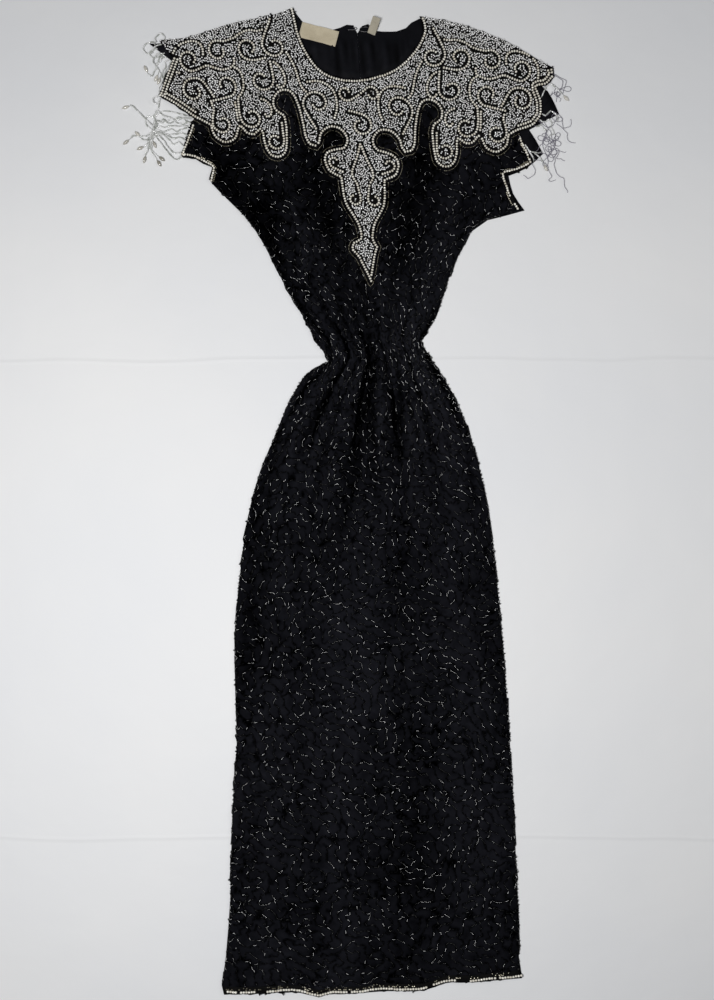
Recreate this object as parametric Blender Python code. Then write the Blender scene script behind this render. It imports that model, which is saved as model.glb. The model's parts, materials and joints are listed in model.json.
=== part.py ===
"""Beaded evening dress, laid flat on its back with the neck towards +Y.

Every table is in millimetres on the laid garment: x runs to the right, y up from the lowest
point of the hem, and z up from the surface that the dress lies on. The two back panels lie
on the surface, the front lies on them, and the beadwork lies on the front. Each piece is a
wall between two triangulated nets that share one outline.
"""

import math
from collections import namedtuple

import bmesh
import bpy
from mathutils import Matrix, Vector
from mathutils.geometry import delaunay_2d_cdt

# Driving sizes, in millimetres
MM = 0.001
SEAM_GAP = 0.3
BACK_WALL = 1.5
FRONT_WALL = 1.9
YOKE_WALL = 1.5
ROW_RISE = 1.5
ROW_HALF_WIDTH = 2.2
RIM_WIDTH = 3.6
SLEEVE_TRIM_WIDTH = 4.5
HEM_TRIM_DEPTH = 11.0
TRIM_RISE = 2.4
CURVE_STEP = 13.0
LOBE_STEP = 8.0
SCROLL_STEP = 7.0
SCROLL_TURN = 45.0
NET_STEP = 32.0
NET_CLEARANCE = 9.0
WELD = 0.0001

# The neck and the side stations of the skirt and bodice, from the hem to the underarm
Station = namedtuple("Station", "height left right")
BODY = (
    Station(40, -221, 221),
    Station(115, -213, 220),
    Station(250, -211, 214),
    Station(400, -203, 206),
    Station(535, -206, 196),
    Station(640, -198, 186),
    Station(745, -181, 172),
    Station(825, -153, 153),
    Station(895, -124, 127),
    Station(930, -103, 108),
    Station(945, -88, 98),
    Station(958, -64, 89),
    Station(972, -75, 81),
    Station(985, -85, 73),
    Station(1006, -95, 87),
    Station(1025, -105, 98),
    Station(1050, -121, 106),
    Station(1085, -139, 117),
    Station(1115, -153, 130),
    Station(1150, -174, 149),
    Station(1165, -184, 163),
)
# Smooth lines inside the seams that the folds fan out between
FAN = (
    Station(40, -219, 218),
    Station(250, -209, 211),
    Station(535, -203, 193),
    Station(745, -177, 169),
    Station(840, -143, 145),
    Station(895, -112, 119),
    Station(930, -86, 99),
    Station(960, -61, 81),
    Station(985, -65, 70),
    Station(1010, -86, 82),
    Station(1050, -115, 101),
    Station(1085, -134, 114),
    Station(1165, -178, 157),
)
SKIRT_ROWS = (60, 100, 150, 220, 300, 380, 460, 540, 610, 680, 740, 790)
WAIST_ROWS = (830, 865, 895, 918, 938, 955, 970, 985, 1003, 1024, 1050, 1080, 1115, 1150)
SKIRT_COLUMNS = 16
WAIST_COLUMNS = 32

# Edges of the front, each a row of marks: a corner breaks the curve that runs through them
Mark = namedtuple("Mark", "x y corner")
HEM = (
    Mark(-225, 17, True),
    Mark(-222, 5, True),
    Mark(-189, 6, False),
    Mark(-147, 9, False),
    Mark(-106, 8, False),
    Mark(-80, 2, False),
    Mark(-60, 8, False),
    Mark(-20, 8, False),
    Mark(30, 11, False),
    Mark(78, 12, False),
    Mark(112, 23, False),
    Mark(150, 24, False),
    Mark(188, 27, False),
    Mark(225, 30, True),
    Mark(220, 43, True),
)
RIGHT_UNDERARM = (Mark(163, 1165, False), Mark(195, 1175, False), Mark(223, 1185, True))
RIGHT_LOW_SLEEVE = (
    Mark(223, 1185, True),
    Mark(209, 1206, False),
    Mark(199, 1235, True),
    Mark(223, 1241, False),
    Mark(241, 1252, True),
    Mark(224, 1291, True),
)
RIGHT_HIGH_SLEEVE = (
    Mark(220, 1299, True),
    Mark(243, 1308, False),
    Mark(255, 1324, True),
    Mark(255, 1345, False),
    Mark(247, 1366, True),
    Mark(262, 1369, False),
    Mark(274, 1382, False),
    Mark(271, 1395, True),
)
RIGHT_SHOULDER = (
    Mark(271, 1395, True),
    Mark(246, 1409, False),
    Mark(198, 1436, False),
    Mark(130, 1461, False),
    Mark(71, 1473, True),
)
NECK_SCOOP = (
    Mark(71, 1473, True),
    Mark(77, 1451, False),
    Mark(62, 1420, False),
    Mark(28, 1390, False),
    Mark(-27, 1377, False),
    Mark(-74, 1390, False),
    Mark(-104, 1433, False),
    Mark(-118, 1485, True),
)
LEFT_SHOULDER = (
    Mark(-118, 1485, True),
    Mark(-142, 1476, False),
    Mark(-217, 1460, False),
    Mark(-278, 1440, False),
    Mark(-319, 1437, True),
)
LEFT_HIGH_SLEEVE = (
    Mark(-319, 1437, True),
    Mark(-298, 1411, True),
    Mark(-309, 1383, False),
    Mark(-320, 1353, True),
    Mark(-297, 1340, False),
    Mark(-268, 1320, True),
)
LEFT_LOW_SLEEVE = (
    Mark(-271, 1311, True),
    Mark(-287, 1264, True),
    Mark(-264, 1258, False),
    Mark(-240, 1246, True),
    Mark(-245, 1227, True),
)
LEFT_UNDERARM = (
    Mark(-245, 1227, True),
    Mark(-229, 1210, False),
    Mark(-201, 1183, False),
    Mark(-184, 1165, False),
)

# Edges of the back panels that differ from the front, which shows past its notches
BACK_RIGHT_SLEEVE = (
    Mark(163, 1165, False),
    Mark(196, 1173, False),
    Mark(229, 1182, True),
    Mark(212, 1207, False),
    Mark(205, 1234, True),
    Mark(233, 1246, False),
    Mark(257, 1267, True),
    Mark(247, 1286, False),
    Mark(236, 1303, True),
    Mark(262, 1317, False),
    Mark(281, 1327, True),
    Mark(275, 1341, False),
    Mark(264, 1361, False),
    Mark(251, 1372, True),
    Mark(267, 1392, True),
)
BACK_RIGHT_SHOULDER = (
    Mark(267, 1392, True),
    Mark(245, 1406, False),
    Mark(197, 1433, False),
    Mark(129, 1458, False),
    Mark(71, 1470, True),
)
BACK_NECK_RIGHT = (
    Mark(71, 1470, True),
    Mark(59, 1464, False),
    Mark(51, 1456, False),
    Mark(37, 1451, False),
    Mark(4, 1452, False),
    Mark(-6, 1462, False),
    Mark(-15, 1459, True),
)
BACK_NECK_LEFT = (
    Mark(-28, 1460, True),
    Mark(-38, 1461, False),
    Mark(-60, 1453, False),
    Mark(-93, 1459, False),
    Mark(-105, 1466, False),
    Mark(-117, 1482, True),
)
BACK_LEFT_SHOULDER = (
    Mark(-117, 1482, True),
    Mark(-142, 1473, False),
    Mark(-217, 1457, False),
    Mark(-278, 1437, False),
    Mark(-334, 1432, True),
)
BACK_LEFT_SLEEVE = (
    Mark(-334, 1432, True),
    Mark(-301, 1407, True),
    Mark(-304, 1384, False),
    Mark(-314, 1356, True),
    Mark(-264, 1322, True),
    Mark(-281, 1268, True),
    Mark(-236, 1250, True),
    Mark(-240, 1228, True),
    Mark(-226, 1208, False),
    Mark(-199, 1181, False),
    Mark(-184, 1165, False),
)
CENTRE_BACK = (
    Mark(-22, 1448, True),
    Mark(-12, 1300, False),
    Mark(-2, 1100, False),
    Mark(3, 960, False),
    Mark(0, 600, False),
    Mark(0, 10, True),
)
BACK_HEM_LIFT = 3.0
BACK_HEM_END = 4.0

# Soft rises of the front over the back: compact bumps, and folds that fan out from the waist
Puff = namedtuple("Puff", "x y reach_x reach_y rise")
PUFFS = (
    Puff(-12, 1240, 230, 170, 4.0),
    Puff(-15, 1395, 150, 90, 2.5),
    Puff(-200, 1380, 130, 95, 2.5),
    Puff(165, 1365, 120, 95, 2.5),
    Puff(0, 965, 90, 150, 2.5),
    Puff(-8, 680, 200, 280, 4.5),
    Puff(0, 250, 230, 330, 3.5),
)
Fold = namedtuple("Fold", "column peak rise half_width reach_up reach_down")
FOLDS = (
    Fold(2, 960, 4.5, 2, 60, 110),
    Fold(6, 962, 7.5, 2, 110, 270),
    Fold(10, 966, 6.0, 2, 150, 190),
    Fold(13, 968, 8.0, 2, 90, 430),
    Fold(17, 970, 6.5, 2, 190, 230),
    Fold(20, 974, 8.5, 2, 250, 340),
    Fold(24, 978, 6.0, 2, 130, 400),
    Fold(27, 980, 7.0, 2, 80, 210),
    Fold(30, 984, 4.0, 2, 50, 100),
    Fold(8, 520, 2.6, 4, 220, 270),
    Fold(18, 430, 2.8, 4, 260, 300),
    Fold(26, 330, 2.2, 4, 200, 270),
    Fold(5, 10, 3.0, 4, 150, 60),
    Fold(13, 10, 4.0, 4, 190, 60),
    Fold(21, 20, 3.2, 4, 150, 60),
    Fold(28, 30, 2.4, 4, 120, 60),
)

# Beaded yoke: one half of its scrolled edge, out from the centre line and up from its point
YOKE_POINT = (-2, 1069)
YOKE_LEAN = -0.073
YOKE_DROP = -0.066
YOKE_SLEEVE_START = 110.0
YOKE_SLEEVE_LIFT = 0.13
Edge = namedtuple("Edge", "out up corner")
YOKE_EDGE = (
    Edge(225, 223, True),
    Edge(221, 208, False),
    Edge(204, 198, False),
    Edge(186, 206, False),
    Edge(179, 224, True),
    Edge(170, 214, False),
    Edge(157, 213, False),
    Edge(148, 221, True),
    Edge(146, 200, False),
    Edge(138, 184, False),
    Edge(124, 180, False),
    Edge(111, 190, False),
    Edge(107, 212, False),
    Edge(107, 238, False),
    Edge(111, 249, False),
    Edge(122, 257, False),
    Edge(122, 271, False),
    Edge(111, 281, False),
    Edge(99, 278, False),
    Edge(92, 262, False),
    Edge(87, 238, False),
    Edge(84, 215, False),
    Edge(77, 203, False),
    Edge(66, 200, False),
    Edge(59, 209, True),
    Edge(56, 221, False),
    Edge(44, 231, False),
    Edge(30, 229, False),
    Edge(22, 217, False),
    Edge(27, 205, False),
    Edge(38, 203, True),
    Edge(52, 197, False),
    Edge(58, 183, False),
    Edge(51, 165, False),
    Edge(35, 157, True),
    Edge(34, 138, False),
    Edge(31, 119, False),
    Edge(22, 103, True),
    Edge(14, 88, False),
    Edge(11, 70, True),
)
YOKE_TAILS = {
    -1: (Edge(22, 64, False), Edge(26, 51, False), Edge(17, 40, True), Edge(7, 18, False)),
    1: (Edge(17, 58, True), Edge(12, 44, False), Edge(6, 18, False)),
}

# Raised bead rows on one half of the yoke: each comes in along a tail and winds round an eye
Scroll = namedtuple("Scroll", "out up radius last_radius start sweep tail_out tail_up")
SCROLLS = (
    Scroll(118, 349, 18, 6, 20, -390, 122, 392),
    Scroll(158, 344, 18, 6, -110, 390, 132, 331),
    Scroll(204, 336, 17, 6, 120, -380, 178, 358),
    Scroll(248, 321, 16, 6, -100, 380, 222, 314),
    Scroll(245, 274, 20, 6, 130, -420, 214, 266),
    Scroll(196, 286, 18, 6, -80, -370, 222, 260),
    Scroll(142, 297, 19, 6, 150, 400, 127, 327),
    Scroll(160, 240, 17, 6, 10, -390, 179, 268),
    Scroll(205, 228, 15, 6, 30, -380, 216, 249),
    Scroll(127, 206, 12, 5, 180, 370, 116, 236),
    Scroll(60, 268, 21, 6, -20, 420, 64, 228),
    Scroll(41, 181, 9, 5, -90, 300, 28, 166),
    Scroll(15, 127, 9, 5, 180, 330, 9, 150),
)
CENTRE_SCROLLS = (
    Scroll(3, 240, 17, 6, 60, -420, 2, 270),
    Scroll(-22, 283, 10, 5, -60, -330, 26, 295),
)
YOKE_ROWS = (
    (Edge(99, 338, True), Edge(90, 318, False), Edge(85, 298, True)),
    (Edge(0, 212, True), Edge(6, 192, False), Edge(15, 170, True)),
)

# Fringe: tufts along the sleeve edge, each from its first to its last strand
Tuft = namedtuple("Tuft", "start end count heading last_heading reach last_reach")
LEFT_TUFTS = (
    Tuft(0.05, 0.14, 3, 188, 196, 36, 40),
    Tuft(0.23, 0.39, 4, 197, 203, 44, 48),
    Tuft(0.50, 0.69, 7, 196, 208, 62, 78),
    Tuft(0.76, 0.97, 8, 209, 232, 84, 52),
)
RIGHT_TUFTS = (
    Tuft(0.03, 0.22, 5, -60, -44, 60, 52),
    Tuft(0.29, 0.45, 4, -42, -36, 76, 60),
    Tuft(0.54, 0.70, 3, -32, -24, 56, 48),
    Tuft(0.80, 0.97, 3, -18, -6, 28, 26),
)
STRIP_OFFSET = 0.4
STRIP_WIDTH = 1.6
STRIP_BOTTOM = 1.8
STRIP_TOP = 3.2
STRAND_HALF = 0.7
STRAND_SAG = 22.0
STRAND_LEVEL = 0.7
STRAND_END_HEIGHT = 1.7
Ring = namedtuple("Ring", "along half")
STRAND_RINGS = (
    Ring(0.06, 0.6),
    Ring(0.25, 0.55),
    Ring(0.45, 0.55),
    Ring(0.65, 0.55),
    Ring(0.80, 0.6),
    Ring(0.90, 1.3),
    Ring(1.00, 0.5),
)

# Labels and the fastening at the back neck
LABEL_SIZE = (52, 19, 0.7)
LABEL_PLACE = (-76, 1446)
LABEL_TURN = -15
TAB_WIDTH = 12
TAB_LENGTH = 24
TAB_WALL = 0.7
TAB_TILT = 18
TAB_PLACE = (5, 1446)
TAB_TURN = -28
WIRE = 0.5
WIRE_HEIGHT = 0.6
HOOK_ROUTE = ((-36, 1453), (-31, 1453), (-25, 1453), (-22.5, 1454.5), (-24, 1456.5), (-28, 1456.5))
EYE_ROUTE = ((-7, 1450), (-12, 1450), (-17, 1451), (-18.6, 1453.5), (-17, 1456), (-12, 1457), (-7, 1457))

Net = namedtuple("Net", "points triangles sources owners")


def smooth_step(value):
    """Ease a value from 0 to 1."""
    value = min(max(value, 0.0), 1.0)
    return value * value * (3 - 2 * value)


def spline_point(before, start, end, after, fraction):
    """Return a point of the curve that runs through start and end."""
    slope_in = (end - before) / 2
    slope_out = (after - start) / 2
    square = fraction * fraction
    cube = square * fraction
    return (
        start * (2 * cube - 3 * square + 1)
        + slope_in * (cube - 2 * square + fraction)
        + end * (3 * square - 2 * cube)
        + slope_out * (cube - square)
    )


def curve_through(points, step):
    """Return points about a step apart on a smooth curve through the given ones."""
    if len(points) < 3:
        return list(points)
    guides = [2 * points[0] - points[1], *points, 2 * points[-1] - points[-2]]
    path = [points[0]]
    for index in range(1, len(guides) - 2):
        start, end = guides[index], guides[index + 1]
        count = max(1, round((end - start).length / step))
        for part in range(1, count + 1):
            path.append(spline_point(guides[index - 1], start, end, guides[index + 2], part / count))
    return path


def trace(marks, step=CURVE_STEP):
    """Return the path through rows of marks, curved between corners."""
    path = []
    run = []
    for mark in marks:
        run.append(Vector(mark[:2]))
        if mark.corner and len(run) > 1:
            path += curve_through(run, step)[:-1]
            run = [run[-1]]
    return path + curve_through(run, step)


def side_line(stations, column, height):
    """Return where a line runs at a height, with no swing past its stations."""
    rows = [(station.height, getattr(station, column)) for station in stations]
    rates = [(b[1] - a[1]) / (b[0] - a[0]) for a, b in zip(rows, rows[1:])]
    slopes = [rates[0]]
    for first, second in zip(rates, rates[1:]):
        slopes.append(2 * first * second / (first + second) if first * second > 0 else 0.0)
    slopes.append(rates[-1])
    index = next((i for i in range(len(rows) - 2) if height <= rows[i + 1][0]), len(rows) - 2)
    (low, x_low), (high, x_high) = rows[index], rows[index + 1]
    span = high - low
    part = min(max((height - low) / span, 0.0), 1.0)
    square = part * part
    cube = square * part
    return (
        x_low * (2 * cube - 3 * square + 1)
        + slopes[index] * span * (cube - 2 * square + part)
        + x_high * (3 * square - 2 * cube)
        + slopes[index + 1] * span * (cube - square)
    )


def fold_rise(fold, across, height):
    """Return how far one fold lifts the cloth at a place."""
    reach = fold.reach_up if height > fold.peak else fold.reach_down
    fade = 1 - abs(height - fold.peak) / reach
    offset = abs(across * WAIST_COLUMNS - fold.column) / fold.half_width
    if fade <= 0 or offset >= 1:
        return 0.0
    return fold.rise * smooth_step(fade) * (1 + math.cos(math.pi * offset)) / 2


def puff_rise(puff, x, y):
    """Return how far one soft bump lifts the cloth at a place."""
    square = ((x - puff.x) / puff.reach_x) ** 2 + ((y - puff.y) / puff.reach_y) ** 2
    return puff.rise * (1 - square) ** 2 if square < 1 else 0.0


def front_low(point):
    """Return the height of the front's inner side at a place."""
    left = side_line(FAN, "left", point.y)
    right = side_line(FAN, "right", point.y)
    across = (point.x - left) / (right - left)
    folds = sum(fold_rise(fold, across, point.y) for fold in FOLDS)
    puffs = sum(puff_rise(puff, point.x, point.y) for puff in PUFFS)
    return BACK_WALL + SEAM_GAP + folds + puffs


def front_top(point):
    """Return the height of the front's outer side at a place."""
    return front_low(point) + FRONT_WALL


def path_normals(path, closed=False):
    """Return the mitred normals on the left of a path."""
    count = len(path)
    sides = []
    for index in range(count if closed else count - 1):
        step = (path[(index + 1) % count] - path[index]).normalized()
        sides.append(Vector((-step.y, step.x)))
    normals = []
    for index in range(count):
        before = sides[index - 1] if closed or index > 0 else sides[0]
        after = sides[index] if index < len(sides) else sides[-1]
        blend = before + after
        normals.append(blend * 2 / max(blend.length_squared, 0.5))
    return normals


def offset_path(path, distance, closed=False):
    """Return a path moved to its left."""
    return [point + normal * distance for point, normal in zip(path, path_normals(path, closed))]


def distance_to_path(point, path, closed=True):
    """Return how near a point lies to a path."""
    best = math.inf
    for index in range(len(path) if closed else len(path) - 1):
        start = path[index]
        run = path[(index + 1) % len(path)] - start
        part = min(max((point - start).dot(run) / run.length_squared, 0.0), 1.0)
        best = min(best, (start + run * part - point).length)
    return best


def is_inside(point, loop):
    """Tell whether a point lies inside a closed loop."""
    inside = False
    for start, end in zip(loop, loop[1:] + loop[:1]):
        if (start.y > point.y) != (end.y > point.y):
            crossing = start.x + (point.y - start.y) * (end.x - start.x) / (end.y - start.y)
            inside ^= point.x < crossing
    return inside


def triangulate(points, lines, loops):
    """Return the net of triangles inside the loops, with every line as an edge."""
    found = delaunay_2d_cdt(points, lines, loops, 1, WELD, True)
    corners, triangles, sources, owners = found[0], found[2], found[3], found[5]
    first_source = [min(source) if source else None for source in sources]
    return Net(corners, [list(face) for face in triangles], first_source, owners)


def net_part(net, owner):
    """Return the triangles of a net that lie in one of its loops."""
    return [face for face, owners in zip(net.triangles, net.owners) if owner in owners]


def net_outline(triangles):
    """Return the corners round a patch of triangles, in order."""
    edges = {(face[i], face[(i + 1) % 3]) for face in triangles for i in range(3)}
    follow = {start: end for start, end in edges if (end, start) not in edges}
    first = min(follow)
    loop = [first]
    while follow[loop[-1]] != first:
        loop.append(follow[loop[-1]])
    return loop


def make_material(name, colour, roughness, metallic=0.0):
    """Return a plain material for one kind of piece."""
    material = bpy.data.materials.new(name)
    material.use_nodes = True
    shader = material.node_tree.nodes["Principled BSDF"]
    shader.inputs["Base Color"].default_value = (*colour, 1.0)
    shader.inputs["Roughness"].default_value = roughness
    shader.inputs["Metallic"].default_value = metallic
    return material


def add_object(name, shape, material, sharp_angle=50.0):
    """Put a bmesh, measured in millimetres, into the scene as an object in metres."""
    bmesh.ops.transform(shape, matrix=Matrix.Scale(MM, 4), verts=shape.verts)
    bmesh.ops.triangulate(shape, faces=shape.faces)
    mesh = bpy.data.meshes.new(name)
    shape.to_mesh(mesh)
    shape.free()
    mesh.materials.append(material)
    mesh.shade_smooth()
    mesh.set_sharp_from_angle(angle=math.radians(sharp_angle))
    piece = bpy.data.objects.new(name, mesh)
    bpy.context.scene.collection.objects.link(piece)
    return piece


def add_wall(name, low, top, rim, material):
    """Make a closed wall from a lower and an upper skin and the pairs of corners on its rim."""
    shape = bmesh.new()
    low_verts = {key: shape.verts.new(place) for key, place in low[0].items()}
    top_verts = {key: shape.verts.new(place) for key, place in top[0].items()}
    for face in low[1]:
        shape.faces.new([low_verts[key] for key in reversed(face)])
    for face in top[1]:
        shape.faces.new([top_verts[key] for key in face])
    for (low_a, top_a), (low_b, top_b) in zip(rim, rim[1:] + rim[:1]):
        shape.faces.new([low_verts[low_a], low_verts[low_b], top_verts[top_b], top_verts[top_a]])
    return add_object(name, shape, material)


def skin(points, triangles, height):
    """Return the corners of a patch at their heights, with its triangles."""
    used = sorted({key for face in triangles for key in face})
    return {key: (*points[key], height(key)) for key in used}, triangles


def front_runs():
    """Return the named runs of the front's outline, in order round it."""
    rows = SKIRT_ROWS + WAIST_ROWS
    return {
        "hem": trace(HEM, 24.0),
        "right_side": [Vector((side_line(BODY, "right", row), row)) for row in rows],
        "right_underarm": trace(RIGHT_UNDERARM),
        "right_low_sleeve": trace(RIGHT_LOW_SLEEVE),
        "right_high_sleeve": trace(RIGHT_HIGH_SLEEVE),
        "right_shoulder": trace(RIGHT_SHOULDER, 22.0),
        "neck": trace(NECK_SCOOP),
        "left_shoulder": trace(LEFT_SHOULDER, 22.0),
        "left_high_sleeve": trace(LEFT_HIGH_SLEEVE),
        "left_low_sleeve": trace(LEFT_LOW_SLEEVE),
        "left_underarm": trace(LEFT_UNDERARM),
        "left_side": [Vector((side_line(BODY, "left", row), row)) for row in reversed(rows)],
    }


def join_runs(runs):
    """Return one closed loop and the places of each run's points in it."""
    loop = []
    places = {}
    for name, run in runs.items():
        indices = []
        for point in run:
            if not loop or (loop[-1] - point).length > WELD:
                loop.append(point)
            indices.append(len(loop) - 1)
        places[name] = indices
    return loop, places


def lay_yoke(out, up, side):
    """Return where a place of the yoke's half pattern lies on the skewed bodice."""
    lift = YOKE_SLEEVE_LIFT * max(out - YOKE_SLEEVE_START, 0.0) if side > 0 else 0.0
    x = YOKE_POINT[0] + side * out + YOKE_LEAN * up
    y = YOKE_POINT[1] + YOKE_DROP * side * out + up + lift
    return Vector((x, y))


def yoke_half_edge(side):
    """Return one half of the yoke's lower edge, from the sleeve to its point."""
    rows = YOKE_EDGE + YOKE_TAILS[side] + (Edge(0, 0, True),)
    return trace([Mark(*lay_yoke(row.out, row.up, side), row.corner) for row in rows], LOBE_STEP)


def scroll_row(scroll, side):
    """Return the path of a spiral bead row."""
    turns = round(abs(scroll.sweep) / SCROLL_TURN)
    guides = [lay_yoke(scroll.tail_out, scroll.tail_up, side)]
    for index in range(turns + 1):
        part = index / turns
        radius = scroll.radius * (scroll.last_radius / scroll.radius) ** part
        angle = math.radians(scroll.start + scroll.sweep * part)
        out = scroll.out + radius * math.cos(angle)
        guides.append(lay_yoke(out, scroll.up + radius * math.sin(angle), side))
    return curve_through(guides, SCROLL_STEP)


def bead_rows():
    """Return every raised bead row of the yoke."""
    rows = [scroll_row(scroll, 1) for scroll in CENTRE_SCROLLS]
    for side in (-1, 1):
        rows += [scroll_row(scroll, side) for scroll in SCROLLS]
        for edges in YOKE_ROWS:
            marks = [Mark(*lay_yoke(edge.out, edge.up, side), edge.corner) for edge in edges]
            rows.append(trace(marks, SCROLL_STEP))
    return rows


def fold_grid():
    """Return the points along the folds of the skirt and waist, and the lines that join them."""
    points = []
    lines = []
    for rows, columns in ((SKIRT_ROWS, SKIRT_COLUMNS), (WAIST_ROWS, WAIST_COLUMNS)):
        for column in range(1, columns):
            for order, row in enumerate(rows):
                left = side_line(FAN, "left", row)
                right = side_line(FAN, "right", row)
                points.append(Vector((left + (right - left) * column / columns, row)))
                if order:
                    lines.append((len(points) - 2, len(points) - 1))
    return points, lines


def bodice_grid(outline, barriers):
    """Return evenly spread points for the bodice above the folds, clear of its edges."""
    points = []
    row = 0
    y = WAIST_ROWS[-1] + NET_STEP
    while y < 1480:
        x = -340.0 + (row % 2) * NET_STEP / 2
        while x < 290:
            place = Vector((x, y))
            clear = all(distance_to_path(place, path, False) > NET_CLEARANCE for path in barriers)
            if clear and is_inside(place, outline) and distance_to_path(place, outline) > NET_CLEARANCE:
                points.append(place)
            x += NET_STEP
        y += NET_STEP * 0.87
        row += 1
    return points


def chain(indices):
    """Return the lines that join indices in order."""
    return list(zip(indices, indices[1:]))


def build_front(materials):
    """Make the front and everything that is sewn on it."""
    outline, places = join_runs(front_runs())
    count = len(outline)
    grid, grid_lines = fold_grid()
    grid_lines = [(a + count, b + count) for a, b in grid_lines]
    yoke_edge = yoke_half_edge(-1) + yoke_half_edge(1)[-2::-1]
    low_grid = grid + bodice_grid(outline, [])
    low = triangulate(outline + low_grid, grid_lines, [list(range(count))])

    sleeve_trims = {}
    for side in ("left", "right"):
        run = places[side + "_low_sleeve"]
        inner = offset_path([outline[i] for i in run], SLEEVE_TRIM_WIDTH)[1:-1]
        sleeve_trims[side] = (run, inner)
    hem_run = places["hem"]
    hem_inner = [outline[i] + Vector((0, HEM_TRIM_DEPTH)) for i in hem_run[2:-2]]

    grid = [point for point in grid if distance_to_path(point, yoke_edge, False) > 1.5]
    kept = {(round(point.x, 2), round(point.y, 2)): order + count for order, point in enumerate(grid)}
    lines = []
    for a, b in grid_lines:
        ends = [low_grid[i - count] for i in (a, b)]
        keys = [kept.get((round(end.x, 2), round(end.y, 2))) for end in ends]
        if None not in keys:
            lines.append(tuple(keys))
    barriers = [yoke_edge] + [inner for _, inner in sleeve_trims.values()]
    points = outline + grid + bodice_grid(outline, barriers)
    loops = [list(range(count))]
    yoke_start = len(points)
    points = points + yoke_edge
    upper = list(range(places["right_high_sleeve"][0], places["left_high_sleeve"][-1] + 1))
    loops.append(upper + list(range(yoke_start, len(points))))
    for run, inner in list(sleeve_trims.values()) + [(hem_run, hem_inner)]:
        start = len(points)
        points = points + inner
        loops.append(run + list(reversed(range(start, len(points)))))
    top = triangulate(points, lines, loops)

    low_of = {source: key for key, source in enumerate(low.sources)}
    rim = [(low_of[top.sources[key]], key) for key in net_outline(net_part(top, 0))]
    add_wall(
        "front",
        skin(low.points, net_part(low, 0), lambda key: front_low(low.points[key])),
        skin(top.points, net_part(top, 0), lambda key: front_top(top.points[key])),
        rim,
        materials["silk"],
    )
    build_yoke(top, net_part(top, 1), materials["seed_beads"])
    for order, name in enumerate(("sleeve_trim_left", "sleeve_trim_right", "hem_trim")):
        build_trim(name, top, net_part(top, 2 + order), materials["pearls"])
    return outline, places


def build_trim(name, net, triangles, material):
    """Make a beaded band from the points of the front below it."""
    rim = [(key, key) for key in net_outline(triangles)]

    def base(key):
        """Return the height of the band's underside."""
        return front_top(net.points[key]) + SEAM_GAP

    low = skin(net.points, triangles, base)
    top = skin(net.points, triangles, lambda key: base(key) + TRIM_RISE)
    add_wall(name, low, top, rim, material)


def yoke_relief(outline):
    """Return the points and lines of the yoke's outer face, with the height of each point."""
    points = list(outline)
    rises = [ROW_RISE] * len(points)
    lines = []
    inner = []
    for place in offset_path(outline, RIM_WIDTH, True):
        clear = is_inside(place, outline) and distance_to_path(place, outline) > RIM_WIDTH * 0.9
        inner.append(len(points) if clear else None)
        if clear:
            points.append(place)
            rises.append(0.0)
    for start, end in zip(inner, inner[1:] + inner[:1]):
        if start is not None and end is not None:
            lines.append((start, end))
    for row in bead_rows():
        for offset in (-ROW_HALF_WIDTH, 0.0, ROW_HALF_WIDTH):
            path = row if offset == 0.0 else offset_path(row, offset)
            start = len(points)
            points += path
            top = ROW_RISE if offset == 0.0 else 0.0
            rises += [0.0] + [top] * (len(path) - 2) + [0.0]
            lines += chain(range(start, len(points)))
    return points, lines, rises


def build_yoke(net, triangles, material):
    """Make the beaded yoke: plain below, with its rim and bead rows raised on top."""
    loop = net_outline(triangles)
    outline = [net.points[key] for key in loop]
    points, lines, rises = yoke_relief(outline)
    barriers = [row for row in bead_rows()]
    fill = [place for place in bodice_grid(outline, barriers)]
    top = triangulate(points + fill, lines, [list(range(len(outline)))])
    top_of = {source: key for key, source in enumerate(top.sources)}
    rim = [(key, top_of[order]) for order, key in enumerate(loop)]

    def low_height(key):
        """Return the height of the yoke's underside."""
        return front_top(net.points[key]) + SEAM_GAP

    def top_height(key):
        """Return the height of the yoke's outer face, with its relief."""
        source = top.sources[key]
        rise = rises[source] if source is not None and source < len(rises) else 0.0
        return front_top(top.points[key]) + SEAM_GAP + YOKE_WALL + rise

    low = skin(net.points, triangles, low_height)
    add_wall("yoke", low, skin(top.points, net_part(top, 0), top_height), rim, material)


def build_flat_panel(name, outline, material):
    """Make a back panel that lies flat on the surface."""
    net = triangulate(outline, [], [list(range(len(outline)))])
    triangles = net_part(net, 0)
    rim = [(key, key) for key in net_outline(triangles)]
    low = skin(net.points, triangles, lambda key: 0.0)
    top = skin(net.points, triangles, lambda key: BACK_WALL)
    add_wall(name, low, top, rim, material)


def build_backs(materials):
    """Make the two back panels, parted along the centre-back seam."""
    rows = [row for row in SKIRT_ROWS + WAIST_ROWS]
    hem = [point + Vector((0, BACK_HEM_LIFT)) for point in trace(HEM[1:-1], 30.0)]
    hem = [point for point in hem if abs(point.x) > BACK_HEM_END]
    seam = trace(CENTRE_BACK, 80.0)
    gap = Vector((SEAM_GAP / 2, 0))
    left_side = [Vector((side_line(BODY, "left", row), row)) for row in reversed(rows)]
    right_side = [Vector((side_line(BODY, "right", row), row)) for row in rows]
    left = [point for point in hem if point.x < 0] + [point - gap for point in reversed(seam)]
    left += trace(BACK_NECK_LEFT) + trace(BACK_LEFT_SHOULDER, 30.0)[1:]
    left += trace(BACK_LEFT_SLEEVE)[1:-1] + left_side
    right = [point + gap for point in seam] + [point for point in hem if point.x > 0]
    right += right_side + trace(BACK_RIGHT_SLEEVE)[1:]
    right += trace(BACK_RIGHT_SHOULDER, 30.0)[1:] + trace(BACK_NECK_RIGHT)[1:]
    build_flat_panel("back_left", left, materials["lining"])
    build_flat_panel("back_right", right, materials["lining"])


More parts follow.
